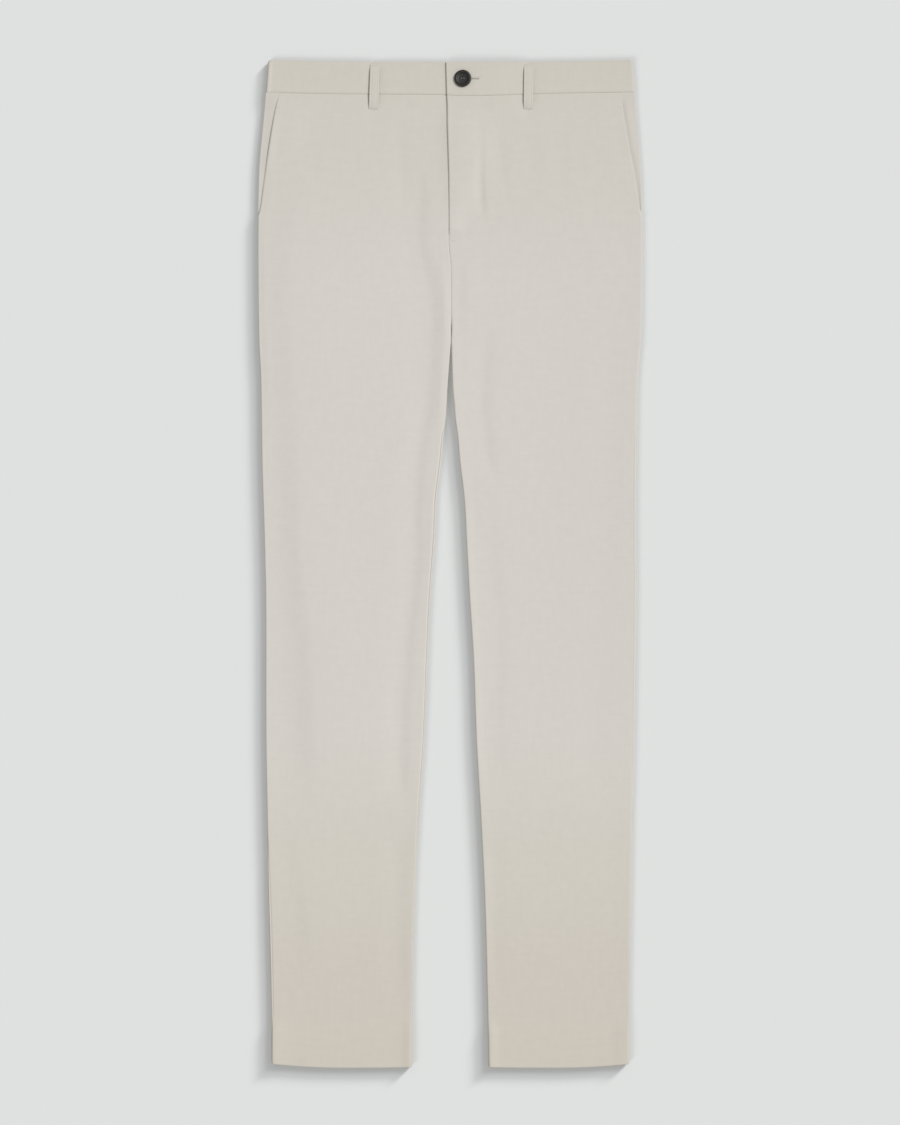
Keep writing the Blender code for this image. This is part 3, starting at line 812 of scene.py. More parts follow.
def panel_edges(side, down, is_front):
    """Where the panel's side edge and its inner edge lie."""
    if is_front:
        return front_outer_edge(side, down), front_inner_edge(side, down)
    return side_edge(side, down), back_inner_edge(side, down)


def panel_columns(side, down, is_front):
    """(inset, drop, inward direction, dip, on the front) of each column, from the side inwards."""
    outer, inner = panel_edges(side, down, is_front)
    width = abs(outer - inner)
    closed = side_closing(down) if is_front else 1.0
    sewn = climb(down, UNDERLAP_ENDS, FLY_SETTLES) if is_front else 1.0
    by_side = edge_columns(side, SIDE_SEAM, down, closed, is_front)
    by_inner = edge_columns(side, INSEAM, down, crotch_curl(down), is_front)
    side_dip, inner_dip = LEG_SEAM_DIPS[side, SIDE_SEAM], LEG_SEAM_DIPS[side, INSEAM]
    side_dips = (side_dip, closed, TURNED_EDGE_DIPS[side], TURNED_EDGE_SOFTNESS)
    inner_dips = (inner_dip, sewn, FLY_EDGE_DIPS[side], FLY_EDGE_SOFTNESS)
    columns = [(c[0], c[1], c[2], edge_dip(c[3], *side_dips), c[4]) for c in by_side]
    middle_columns = FRONT_MIDDLE_COLUMNS if is_front else BACK_MIDDLE_COLUMNS
    flat = (0.0, (0.0, -1.0), 0.0, True) if is_front else (crown_at(down), (0.0, 1.0), 0.0, False)
    for k in range(1, middle_columns + 1):
        share = k / (middle_columns + 1)
        columns.append((blend(by_side[-1][0], width - by_inner[-1][0], share), *flat))
    for inset, drop, inward, step, on_front in reversed(by_inner):
        inward = (-inward[0], inward[1])
        columns.append((width - inset, drop, inward, edge_dip(step, *inner_dips), on_front))
    return columns


def panel_section(side, down, depth, is_front):
    """One row of a panel in metres, at some depth inside its outer face."""
    outer = panel_edges(side, down, is_front)[0]
    crossing, crown = folds_at(down), crown_at(down)
    top_dip = BAND_SEAM_DIP * bell(down - BAND_HEIGHT, BAND_SEAM_SOFTNESS)
    section = []
    for inset, drop, inward, dip, on_front in panel_columns(side, down, is_front):
        across = outer - side * inset
        level = front_height(side, down, across, crossing) if on_front else crown
        into = depth + dip + top_dip
        across -= side * inward[0] * into
        section.append(place(side, down, across, level - drop + inward[1] * into))
    return section


# %% [markdown]
# ## From sections to cloth
# A grid with the right number of rows and columns is made first, and then each of its points
# moves to its place in the sections. That keeps clean rows of four-sided faces, and the grid can
# carry a map of the flat cloth, so the knit follows the leg. A Solidify modifier gives the cloth
# its thickness, inwards, so that the outer face stays where the sections put it.

# %% A grid of cloth through sections
CLOTH_WALL = 1.05


def lay_grid(name, sections, used, face_up_at):
    """An open grid through the sections. used is the cloth used up to each row, in millimetres,
    and face_up_at a (row, column) where its outer side faces up, or down if it is None."""
    rows, columns = len(sections), len(sections[0])
    bm = bmesh.new()
    bmesh.ops.create_grid(bm, x_segments=columns - 1, y_segments=rows - 1, size=0.5)
    flat = bm.loops.layers.uv.new("flat_cloth")
    middle = columns // 2
    spread = []
    for section in sections:
        along = [0.0]
        for one, other in zip(section, section[1:]):
            along.append(along[-1] + math.dist(one, other))
        spread.append([value - along[middle] for value in along])
    index = {}
    for vert in bm.verts:
        row = round((0.5 - vert.co.y) * (rows - 1))
        column = round((vert.co.x + 0.5) * (columns - 1))
        index[vert] = (row, column)
        vert.co = sections[row][column]
    for face in bm.faces:
        for loop in face.loops:
            row, column = index[loop.vert]
            loop[flat].uv = (spread[row][column], -used[row] * MM)
    bm.normal_update()
    tested = face_up_at or (rows // 2, middle)
    for vert in bm.verts:
        if index[vert] == tested:
            if (vert.normal.z > 0) != (face_up_at is not None):
                bmesh.ops.reverse_faces(bm, faces=bm.faces)
            break
    return add_object(bm, name, smooth=True)


def thicken(obj, wall):
    """Gives the cloth its wall, inwards from the outer face."""
    solidify = obj.modifiers.new("wall", "SOLIDIFY")
    solidify.thickness = wall * MM
    solidify.offset = -1.0
    solidify.use_even_offset = True
    solidify.use_quality_normals = True
    return obj


def cloth_area(obj):
    return sum(face.area for face in obj.data.polygons)


# %% [markdown]
# ## The four panels
# Two fronts and two backs are the whole of a trouser's cloth below the waistband. Each one is a
# sheet that was cut flat, so its flat size is stated too, with the seam allowances that a maker
# would leave: about 10 mm at each seam, and the hem's turn-up.

# %% Fronts and backs
cloth_pieces = []
# flat width, flat length and flat area, with seam allowances.
FRONT_CUT = (0.242, 1.137, 0.241)
BACK_CUT = (0.242, 1.137, 0.246)

for side, name in SIDE_NAMES:
    for is_front, panel, cut in ((True, "front", FRONT_CUT), (False, "back", BACK_CUT)):
        sections = [panel_section(side, down, depth, is_front) for down, depth, _ in PANEL_ROWS]
        used = [row[2] for row in PANEL_ROWS]
        face_up_at = (len(PANEL_ROWS) // 2, len(sections[0]) // 2) if is_front else None
        obj = thicken(lay_grid(f"{panel}_cloth_{name}", sections, used, face_up_at), CLOTH_WALL)
        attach(obj, "root")
        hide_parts(f"{panel}_{name}")
        cloth_pieces.append(obj)
        area = round(cloth_area(obj), 3)
        print(obj.name, len(obj.data.polygons), "faces,", area, "square metres")

# %% [markdown]
# ## Pocket facings
# Inside each slanted opening a strip of the same cloth shows. It joins the back at the side seam
# and runs on under the front, so it needs only the part that can be seen and a little more.

# %% The two pocket facings
FACING_ROWS = 64
FACING_COLUMNS = 28
FACING_REACH = 4.2
FACING_THICKNESS = 0.8
FACING_TUCK = 1.5
FACING_TUCK_DROP = 0.6
FACING_TUCK_STARTS = 171.0
FACING_TUCK_FULL = POCKET_CLOSED - 1.0
FACING_FLAT_COLUMN = 3


def facing_section(side, down):
    """One row of a facing in metres, from the rolled side seam to its end under the front."""
    tuck = climb(down, FACING_TUCK_STARTS, FACING_TUCK_FULL)
    outer = side_edge(side, down) - side * FACING_TUCK * tuck
    inner = read(POCKET_SLANTS, side_column(side), down) - side * FACING_UNDER
    widest = ROLL + LIP + SOLID_GAP / 2
    crown = 2 * (facing_height(side, down, outer) - widest)
    sink = FACING_TUCK_DROP * tuck
    valley = FACING_VALLEY[side]
    section = []
    for step in (value for value in EDGE_STEPS if value < FACING_REACH):
        inset, drop, inward = rolled_point(SEAM_GAP / 2 + step, FACING_ROLL, crown)
        dip = SEAM_DIP * bell(step, SEAM_SOFTNESS)
        across = outer - side * inset
        height = facing_height(side, down, across, valley) - drop + inward[1] * dip - sink
        section.append(place(side, down, across - side * inward[0] * dip, height))
    first = abs(section[-1][0] / MM - outer)
    for k in range(1, FACING_COLUMNS + 1):
        across = outer - side * blend(first, abs(inner - outer), k / FACING_COLUMNS)
        section.append(place(side, down, across, facing_height(side, down, across, valley) - sink))
    return section


facing_start, facing_end = BAND_HEIGHT + SEAM_GAP, POCKET_CLOSED - ROOM
facing_downs = [blend(facing_start, facing_end, k / FACING_ROWS) for k in range(FACING_ROWS + 1)]
for side, name in SIDE_NAMES:
    sections = [facing_section(side, down) for down in facing_downs]
    up_at = (FACING_ROWS // 2, len(sections[0]) - FACING_FLAT_COLUMN)
    obj = lay_grid(f"pocket_facing_cloth_{name}", sections, facing_downs, up_at)
    thicken(obj, FACING_THICKNESS)
    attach(obj, "root")
    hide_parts(f"pocket_facing_{name}")
    cloth_pieces.append(obj)
    print(obj.name, round(cloth_area(obj), 4), "square metres")

# %% [markdown]
# ## Waistband
# The waistband is one strip, doubled lengthwise with the fold along the top, that goes from its
# hidden end under the fly, round the back, to its end on top. Its fold and its end are rounded
# by half its thickness. The wall thins towards them, so that the two faces meet in the fold.

# %% The waistband's form
BAND_FOLD = 0.95
BAND_UNDERLAP_END = 39.0
BAND_SIDE_HEIGHT = 5.4
BAND_HAIRPIN_STEPS = 18
BAND_CORNER = 3.0
BAND_COLUMN = 4.0
BAND_BACK_COLUMNS = 24
BAND_END_STEPS = (3.2, 2.2, 1.5, 1.05, 0.75, 0.5, 0.3, 0.14, 0.04, 0.0)
BAND_DOWNS = (
    0.0, 0.06, 0.2, 0.4, 0.62, 0.85, 1.2, 1.6, 2.1, 2.6, 3.2, 4.2, 6.0, 9.0, 12.5, 16.0, 19.5,
    23.0, 26.5, 30.0, 32.5, 34.2, 35.2, 35.8, 36.2, 36.5, 36.7, BAND_HEIGHT,
)


def rounded_off(radius, *distances):
    """How far a rounded edge stands in, at these distances from the ends that it rounds."""
    square = radius**2
    for distance_in in distances:
        square -= max(0.0, radius - distance_in) ** 2
    return radius - math.sqrt(max(0.0, square))


def band_inset(down, from_end):
    """How far the outer face stands in at the fold, at the end and by the seam below."""
    dip = BAND_SEAM_DIP * bell(BAND_HEIGHT - down, BAND_SEAM_SOFTNESS)
    return max(rounded_off(BAND_FOLD, down, from_end), dip)


def evenly(start, end, step):
    """Values from start to end, about a step apart."""
    spans = max(1, round(abs(end - start) / step))
    return [blend(start, end, k / spans) for k in range(spans + 1)]


def hairpin(middle, height, radius, side):
    """The turn at a side, from the front over the edge to the back, or the other way round."""
    turns = [math.pi * k / BAND_HAIRPIN_STEPS for k in range(BAND_HAIRPIN_STEPS + 1)]
    if side == LEFT:
        turns.reverse()
    return [
        (middle + side * radius * math.sin(turn), height + radius * math.cos(turn))
        for turn in turns
    ]


def band_section(down):
    """One line along the waistband in metres, and its insets."""
    radius = BAND_SIDE_HEIGHT / 2
    short = max(0.0, BAND_CORNER - down)
    inset = radius + BAND_CORNER - math.sqrt(BAND_CORNER**2 - short**2)
    right, left = (side_edge(side, down) - side * inset for side in (RIGHT, LEFT))
    plain = band_inset(down, BAND_FOLD)
    bow = (down / BAND_HEIGHT) ** 2
    points, insets = [], []
    for across in evenly(BAND_UNDERLAP_END, right, BAND_COLUMN):
        points.append((across, right_band_height(across) - plain))
    points += hairpin(right, radius, radius - plain, RIGHT)
    points += [
        (blend(right, left, k / BAND_BACK_COLUMNS), plain) for k in range(1, BAND_BACK_COLUMNS)
    ]
    points += hairpin(left, radius, radius - plain, LEFT)
    insets += [plain] * len(points)
    end = read(CENTRE_FRONT, 1, down) + SEAM_GAP / 2
    for across in evenly(left, end + BAND_COLUMN, BAND_COLUMN)[1:]:
        points.append((across, left_band_height(across) - plain))
        insets.append(plain)
    for step in BAND_END_STEPS:
        inset = band_inset(down, step)
        points.append((end + step, left_band_height(end + step) - inset))
        insets.append(inset)
    placed = []
    for across, height in points:
        up = LENGTH / 2 - down - waist_dip(across) - bow * seam_bow(across)
        placed.append(metres(across, up, height))
    return placed, insets


band_lines = [band_section(down) for down in BAND_DOWNS]
print("the waistband is a grid of", len(band_lines), "by", len(band_lines[0][0]), "points")

# %% Thinner walls, and cutting one form out of another
THINNEST_SHARE = 0.12


def thin_by(obj, insets, wall):
    """Thins the wall where the outer face stands in, so that a fold closes."""
    group = obj.vertex_groups.new(name="wall_share")
    for vert, inset in zip(obj.data.vertices, insets):
        group.add([vert.index], max(THINNEST_SHARE, 1 - 2 * inset / wall), "REPLACE")
    obj.modifiers["wall"].vertex_group = group.name


def grid_values(sections_of_values):
    """The values of a grid's points in the order in which create_grid makes them."""
    return [value for row in reversed(sections_of_values) for value in row]


def freeze(obj):
    """Replaces an object's mesh by what its modifiers make of it."""
    depsgraph = bpy.context.evaluated_depsgraph_get()
    mesh = bpy.data.meshes.new_from_object(
        obj.evaluated_get(depsgraph), preserve_all_data_layers=True, depsgraph=depsgraph
    )
    obj.modifiers.clear()
    obj.vertex_groups.clear()
    obj.data = mesh


def cut_away(obj, cutter_bm, name):
    """Cuts a form out of an object. Nothing is left of the form itself."""
    cutter = add_object(cutter_bm, name)
    cut = obj.modifiers.new(name, "BOOLEAN")
    cut.operation = "DIFFERENCE"
    cut.object = cutter
    freeze(obj)
    bpy.data.objects.remove(cutter)


print("no wall is thinner than", THINNEST_SHARE, "of its thickness")

# %% The waistband, with its buttonhole cut through
# The whole strip is cut twice as wide as the face that shows, for its fold.
BUTTON_ACROSS = 14.4
BUTTON_DOWN = 21.4
SLIT_DOWN = 21.6
SLIT_FROM = 14.0
SLIT_TO = 32.4
SLIT_WIDTH = 0.5
SLIT_CUTS = 6.4
BAND_FRONT_COLUMN = 4

up_at = (len(BAND_DOWNS) // 2, BAND_FRONT_COLUMN)
waistband = lay_grid("waistband_cloth", [line for line, _ in band_lines], BAND_DOWNS, up_at)
thicken(waistband, SOLID_BAND_WALL)
waistband.modifiers["wall"].use_even_offset = False
thin_by(waistband, grid_values([insets for _, insets in band_lines]), SOLID_BAND_WALL)

bm = bmesh.new()
bmesh.ops.create_cube(bm, size=1.0)
bmesh.ops.scale(bm, verts=bm.verts, vec=metres(SLIT_TO - SLIT_FROM, SLIT_WIDTH, SLIT_CUTS))
slit_middle = (SLIT_FROM + SLIT_TO) / 2
slit_bottom = 2 * SOLID_BAND_WALL + 1.5 * SOLID_GAP + ROOM
slit_place = metres(slit_middle, LENGTH / 2 - SLIT_DOWN, slit_bottom + SLIT_CUTS / 2)
bmesh.ops.translate(bm, verts=bm.verts, vec=slit_place)
cut_away(waistband, bm, "buttonhole")

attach(waistband, "root")
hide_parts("waistband")
cloth_pieces.append(waistband)
print(waistband.name, len(waistband.data.polygons), "faces, slit", SLIT_TO - SLIT_FROM, "mm long")

# %% [markdown]
# ## Belt loops
# A loop is a narrow strip, folded lengthwise and stitched along both edges, and sewn down at its
# top and bottom. Between the two it stands off the cloth, and shades it on its left.

# %% The two belt loops
# side, top centre, bottom centre.
LOOPS = ((RIGHT, -84.7, -86.4), (LEFT, 89.0, 88.4))
LOOP_TOP = 2.6
LOOP_BOTTOM = 53.4
LOOP_WIDTH = 10.8
LOOP_WALL = 1.1
LOOP_STANDS_OFF = 0.8
LOOP_LIFT = 2.6
LOOP_PRESSED = 1.3
LOOP_PRESSED_TO = 10.0
LOOP_FEATHER = 0.2
LOOP_FEATHER_LENGTH = 1.6
LOOP_SEAM = 2.3
LOOP_SEAM_DEPTH = 0.16
LOOP_SEAM_WIDTH = 0.55
LOOP_EDGE = 0.7
LOOP_ROWS = 64
LOOP_END = 1.0
LOOP_STEPS = (0.0, 0.05, 0.16, 0.34, 0.6, 0.95, 1.5, 2.0, 2.3, 2.6, 2.9, 3.2, 3.8, 5.0)
TACK_IN = 2.0
TACK_PRESS = 0.25
TACK_REACH = 1.6


def loop_ground(side, down, across):
    """The cloth under a loop: the waistband, then the front."""
    front = front_height(side, max(down, BAND_HEIGHT), across, [])
    past_seam = ease((down - BAND_HEIGHT) / LOOP_WIDTH)
    return blend(max(band_height(across), front), front + ROOM, past_seam)


def loop_height(side, share, middle, offset=0.0):
    """A loop's outer face: pressed flat at its two sewn ends, and lifted between them."""
    down = blend(LOOP_TOP, LOOP_BOTTOM, share)
    from_end = (LOOP_BOTTOM - LOOP_TOP) * min(share, 1 - share)
    lift = blend(LOOP_PRESSED, LOOP_LIFT, ease(from_end / LOOP_PRESSED_TO))
    lift += LOOP_STANDS_OFF * arch(share)
    lift -= TACK_PRESS * bell(from_end - TACK_IN, TACK_REACH)
    from_seam = LOOP_WIDTH / 2 - LOOP_SEAM - abs(offset)
    seam_line = LOOP_SEAM_DEPTH * bell(from_seam, LOOP_SEAM_WIDTH)
    return loop_ground(side, down, middle) + lift - seam_line


def loop_rows(side, top_middle, bottom_middle):
    """Sections of a loop in metres, with the insets of their points and the cloth used."""
    half = LOOP_WIDTH / 2
    steps = [-half + step for step in LOOP_STEPS] + [0.0]
    steps += [half - step for step in reversed(LOOP_STEPS)]
    length = LOOP_BOTTOM - LOOP_TOP
    ends = [step for step in LOOP_STEPS if step < LOOP_END]
    along = ends + evenly(LOOP_END, length - LOOP_END, length / LOOP_ROWS)
    along += [length - step for step in reversed(ends)]
    sections, insets = [], []
    for used in along:
        share = used / length
        middle = blend(top_middle, bottom_middle, share)
        feather = LOOP_FEATHER * (1 - ease((length - used) / LOOP_FEATHER_LENGTH))
        up = LENGTH / 2 - LOOP_TOP - used - waist_dip(middle)
        section, row = [], []
        for step in steps:
            inset = rounded_off(LOOP_EDGE, half - abs(step), min(used, length - used)) + feather
            height = loop_height(side, share, middle, step) - inset
            section.append(metres(middle + step, up, height))
            row.append(inset)
        sections.append(section)
        insets.append(row)
    return sections, insets, along


for side, top_middle, bottom_middle in LOOPS:
    name = "right" if side == RIGHT else "left"
    sections, insets, along = loop_rows(side, top_middle, bottom_middle)
    up_at = (len(sections) // 2, len(sections[0]) // 2)
    loop = thicken(lay_grid(f"belt_loop_cloth_{name}", sections, along, up_at), LOOP_WALL)
    thin_by(loop, grid_values(insets), LOOP_WALL)
    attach(loop, "root")
    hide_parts(f"belt_loop_{name}")
    cloth_pieces.append(loop)
    print(loop.name, len(loop.data.polygons), "faces")

# %% [markdown]
# ## Button
# A sewing button is round, so it is drawn as half of its outline and spun round its axis. The
# four holes are cut with a Boolean afterwards, and their edges stay crisp.

# %% A round four-hole button
BUTTON_RADIUS = 9.6
BUTTON_HEIGHT = 3.2
BUTTON_SPIN_STEPS = 96
HOLE_RADIUS = 0.85
HOLE_CIRCLE = 1.9
HOLE_SIDES = 24
CRISP_FROM = 40.0
SAME_POINT = 0.00001  # metres
# radius, height: shares of the button's own, from the middle of its face round to its underside.
BUTTON_PROFILE = (
    (0.0, 0.68), (0.30, 0.685), (0.50, 0.70), (0.58, 0.73), (0.63, 0.79), (0.67, 0.88),
    (0.72, 0.955), (0.77, 0.99), (0.82, 1.0), (0.87, 0.985), (0.92, 0.94), (0.96, 0.87),
    (0.985, 0.78), (1.0, 0.66), (0.99, 0.54), (0.96, 0.42), (0.90, 0.26), (0.80, 0.12),
    (0.68, 0.03), (0.55, 0.0), (0.0, 0.0),
)
button_underside = left_band_height(BUTTON_ACROSS) + SOLID_GAP
button_middle = Vector(metres(BUTTON_ACROSS, LENGTH / 2 - BUTTON_DOWN, button_underside))

bm = bmesh.new()
outline = [
    bm.verts.new((radius * BUTTON_RADIUS * MM, 0.0, height * BUTTON_HEIGHT * MM))
    for radius, height in BUTTON_PROFILE
]
edges = [bm.edges.new(pair) for pair in zip(outline, outline[1:])]
bmesh.ops.spin(
    bm, geom=outline + edges, cent=(0, 0, 0), axis=(0, 0, 1), angle=math.tau,
    steps=BUTTON_SPIN_STEPS, use_merge=True, use_duplicate=False,
)
bmesh.ops.remove_doubles(bm, verts=bm.verts, dist=SAME_POINT)
bmesh.ops.recalc_face_normals(bm, faces=bm.faces)
bmesh.ops.translate(bm, verts=bm.verts, vec=button_middle)
button = add_object(bm, "button_moulded", smooth=True)

bm = bmesh.new()
hole_places = []
for k in range(4):
    turn = math.tau * (k + 0.5) / 4
    hole = button_middle + Vector((math.cos(turn), math.sin(turn), 0.0)) * HOLE_CIRCLE * MM
    hole_places.append(hole)
    bmesh.ops.create_cone(
        bm, cap_ends=True, segments=HOLE_SIDES, radius1=HOLE_RADIUS * MM, radius2=HOLE_RADIUS * MM,
        depth=4 * BUTTON_HEIGHT * MM, matrix=Matrix.Translation(hole),
    )
cut_away(button, bm, "holes")
button.data.shade_smooth()
button.data.set_sharp_from_angle(angle=math.radians(CRISP_FROM))
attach(button, "root")
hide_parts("button")
print("button", round(2 * BUTTON_RADIUS, 1), "mm wide,", len(button.data.polygons), "faces")

# %% [markdown]
# ## Thread
# Every stitch is a small rounded grain of thread that lies on the cloth. Hundreds of them are
# joined into a few pieces, so each grain has only a few faces. A grain is made where it lies:
# it needs the point, the way the thread runs, and the way that the cloth faces there.

# %% Laying stitches on a surface
STITCH_SEGMENTS = 8
STITCH_RINGS = 6
PROBE = 0.5
AHEAD = 0.3
TACK_LEAN = 0.18
OVERLAP = 1.15


def add_grain(bm, middle, along, up, length, width, height):
    """One rounded grain of thread, sizes in millimetres."""
    made = bmesh.ops.create_uvsphere(
        bm, u_segments=STITCH_SEGMENTS, v_segments=STITCH_RINGS, radius=0.5
    )
    along = (along - up * along.dot(up)).normalized()
    over = up.cross(along)
    turn = Matrix((over, up, along)).transposed().to_4x4()
    size = Matrix.Diagonal((width * MM, height * MM, length * MM, 1.0))
    bmesh.ops.transform(bm, matrix=Matrix.Translation(middle) @ turn @ size, verts=made["verts"])


def facing_of(surface, across, down):
    """The point of a surface and the way that it faces. A surface gives a point in metres."""
    middle = Vector(surface(across, down))
    sideways = Vector(surface(across + PROBE, down)) - middle
    upwards = Vector(surface(across, down - PROBE)) - middle
    return middle, sideways.cross(upwards).normalized()


def add_row(bm, surface, course, stitch, gap, width, height, sink):
    """Stitches along a course of (across, down) points, each half sunk into the cloth."""
    travelled = stitch / 2
    start = 0.0
    for one, other in zip(course, course[1:]):
        length = math.dist(one, other)
        while travelled <= start + length:
            share = (travelled - start) / length
            across, down = (blend(a, b, share) for a, b in zip(one, other))
            middle, up = facing_of(surface, across, down)
            ahead = Vector(surface(across + (other[0] - one[0]) / length * AHEAD,
                                   down + (other[1] - one[1]) / length * AHEAD))
            add_grain(bm, middle - up * sink * MM, ahead - middle, up, stitch, width, height)
            travelled += stitch + gap
        start += length


def add_tack(bm, surface, one, other, width, grains, thickness):
    """A bar tack: grains side by side across the bar, from one (across, down) to the other."""
    length = math.dist(one, other)
    way = ((other[0] - one[0]) / length, (other[1] - one[1]) / length)
    for k in range(grains):
        share = (k + 0.5) / grains
        across, down = (blend(a, b, share) for a, b in zip(one, other))
        middle, up = facing_of(surface, across, down)
        lean = TACK_LEAN if k % 2 else -TACK_LEAN
        ahead = Vector(surface(across - way[1] * AHEAD + way[0] * lean * AHEAD,
                               down + way[0] * AHEAD + way[1] * lean * AHEAD))
        add_grain(bm, middle, ahead - middle, up, width, length / grains * OVERLAP, thickness)


def finish_thread(bm, name):
    obj = add_object(bm, name, smooth=True)
    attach(obj, "root")
    print(name, len(obj.data.polygons), "faces")
    return obj


def on_front(side):
    """The face of a front, for stitches to lie on."""
    def surface(across, down):
        return place(side, down, across, front_height(side, down, across, folds_at(down)))
    return surface


def on_loop(side, top_middle, bottom_middle):
    """The face of a belt loop."""
    def surface(across, down):
        share = (down - LOOP_TOP) / (LOOP_BOTTOM - LOOP_TOP)
        middle = blend(top_middle, bottom_middle, share)
        height = loop_height(side, share, middle, across - middle)
        return metres(across, LENGTH / 2 - down - waist_dip(middle), height)
    return surface


# %% [markdown]
# ## Stitching
# Ponte trousers hide most of their sewing. What shows is the curved line that holds the fly
# facing, the bar tacks at the places that take strain, the two lines along each belt loop, the
# tiny pricks of the blind hem and the edge of the buttonhole.

# %% Fly, pocket and loop stitching
THREAD = 0.34
THREAD_SINK = 0.08
STITCH = 2.3
STITCH_GAP = 0.5
# across, down: from the waistband seam, down beside the fly facing and round to its end.
FLY_COURSE = (
    (37.3, 40.0), (37.1, 80.0), (36.6, 130.0), (36.2, 160.0), (35.4, 172.0), (33.4, 181.0),
    (30.0, 188.5), (25.5, 195.0), (20.5, 199.8), (15.5, 202.3), (6.8, 203.4),
)
FLY_TACK = ((1.2, 203.9), (6.4, 204.4))
TACK_WIDTH = 1.3
TACK_GRAINS = 15
TACK_THICKNESS = 0.35

bm = bmesh.new()
add_row(bm, on_front(LEFT), FLY_COURSE, STITCH, STITCH_GAP, THREAD, THREAD, THREAD_SINK)
add_tack(bm, on_front(LEFT), *FLY_TACK, TACK_WIDTH, TACK_GRAINS, TACK_THICKNESS)
thread_pieces = [finish_thread(bm, "fly_stitching")]

# down, distance in from the front's edge.
POCKET_TACKS = ((54.0, 0.6), (173.5, 3.4))
POCKET_TACK_LENGTH = 5.0
POCKET_TACK_THICKNESS = 0.16
bm = bmesh.new()
for side, _ in SIDE_NAMES:
    for down, in_from_edge in POCKET_TACKS:
        edge = front_outer_edge(side, down) - side * in_from_edge
        ends = ((edge, down), (edge - side * POCKET_TACK_LENGTH, down))
        add_tack(bm, on_front(side), *ends, TACK_WIDTH, TACK_GRAINS, POCKET_TACK_THICKNESS)
thread_pieces.append(finish_thread(bm, "pocket_tacks"))

LOOP_STITCH_IN = 3.4
LOOP_TACK_MARGIN = 0.9
bm = bmesh.new()
for side, top_middle, bottom_middle in LOOPS:
    surface = on_loop(side, top_middle, bottom_middle)
    for line in (-1, 1):
        offset = line * (LOOP_WIDTH / 2 - LOOP_SEAM)
        course = (
            (top_middle + offset, LOOP_TOP + LOOP_STITCH_IN),
            (bottom_middle + offset, LOOP_BOTTOM - LOOP_STITCH_IN),
        )
        add_row(bm, surface, course, STITCH, STITCH_GAP, THREAD, THREAD, THREAD_SINK)
    for middle, down in ((top_middle, LOOP_TOP + TACK_IN), (bottom_middle, LOOP_BOTTOM - TACK_IN)):
        half = LOOP_WIDTH / 2 - LOOP_TACK_MARGIN
        ends = ((middle - half, down), (middle + half, down))
        add_tack(bm, surface, *ends, TACK_WIDTH, 2 * TACK_GRAINS, TACK_THICKNESS)
thread_pieces.append(finish_thread(bm, "loop_stitching"))

# %% The blind hem
PRICK_EVERY = 9.5
PRICK = 0.9
PRICK_THREAD = 0.24
PRICK_SINK = 0.05
PRICK_IN = 6.0
bm = bmesh.new()
hem_top = LENGTH - HEM_DEPTH
for side, _ in SIDE_NAMES:
    outer, inner = side_edge(side, hem_top), read(INSEAMS, side_column(side), hem_top)
    start, end = sorted((outer - side * PRICK_IN, inner + side * PRICK_IN))
    for across in evenly(start, end, PRICK_EVERY):
        middle, up = facing_of(on_front(side), across, hem_top)
        middle -= up * PRICK_SINK * MM
        add_grain(bm, middle, Vector((1, 0, 0)), up, PRICK, PRICK_THREAD, PRICK_THREAD)
thread_pieces.append(finish_thread(bm, "hem_pricks"))

# %% The buttonhole's whipped edge
WHIP_EVERY = 0.42
WHIP_LENGTH = 0.9
WHIP_THICKNESS = 0.35
WHIP_INTO_SLIT = 0.08
BAR_LENGTH = 1.6
BAR_WIDTH = 1.1
BAR_GRAINS = 8
BAR_OUT = 0.5


def on_left_band(across, down):
    return metres(across, LENGTH / 2 - down, left_band_height(across))


bm = bmesh.new()
for across in evenly(SLIT_FROM, SLIT_TO, WHIP_EVERY):
    for way in (-1, 1):
        down = SLIT_DOWN + way * (SLIT_WIDTH / 2 + WHIP_LENGTH / 2 - WHIP_INTO_SLIT)
        middle, up = facing_of(on_left_band, across, down)
        width = WHIP_EVERY * OVERLAP
        add_grain(bm, middle, Vector((0, 1, 0)), up, WHIP_LENGTH, width, WHIP_THICKNESS)
for across in (SLIT_FROM - BAR_OUT, SLIT_TO + BAR_OUT):
    bar = ((across, SLIT_DOWN - BAR_LENGTH / 2), (across, SLIT_DOWN + BAR_LENGTH / 2))
    add_tack(bm, on_left_band, *bar, BAR_WIDTH, BAR_GRAINS, WHIP_THICKNESS)
thread_pieces.append(finish_thread(bm, "buttonhole_thread"))

# %% [markdown]
# ## Thread through the button
# The button is sewn with two runs of dark thread, each from an upper hole to the one below it,
# and a short neck of thread under the button lets it stand off the cloth.

# %% Button thread
BUTTON_THREAD = 0.42
BUTTON_STRANDS = 3
STRANDS_APART = 0.75
STRAND_STEPS = 9
STRAND_RISE = 0.25
STRAND_ENTERS = 0.4
STRAND_DIVES = 0.3
STRAND_OVERLAP = 1.9
NECK_RADIUS = 1.6
NECK_SIDES = 20
DISH = 0.685


def add_strand(bm, start, end, thickness, rise):
    """A rounded run of thread from one hole to the next, arched over the button's face."""
    middle = [start.lerp(end, k / STRAND_STEPS) for k in range(STRAND_STEPS + 1)]
    for k in range(STRAND_STEPS):
        share = (k + 0.5) / STRAND_STEPS
        dive = STRAND_DIVES if abs(share - 0.5) > STRAND_ENTERS else 0.0
        lift = Vector((0, 0, rise * arch(share) * MM - dive * MM))
        span = (middle[k + 1] - middle[k]).length / MM
        add_grain(bm, (middle[k] + middle[k + 1]) / 2 + lift, end - start, Vector((0, 0, 1)),
                  span * STRAND_OVERLAP, thickness, thickness)


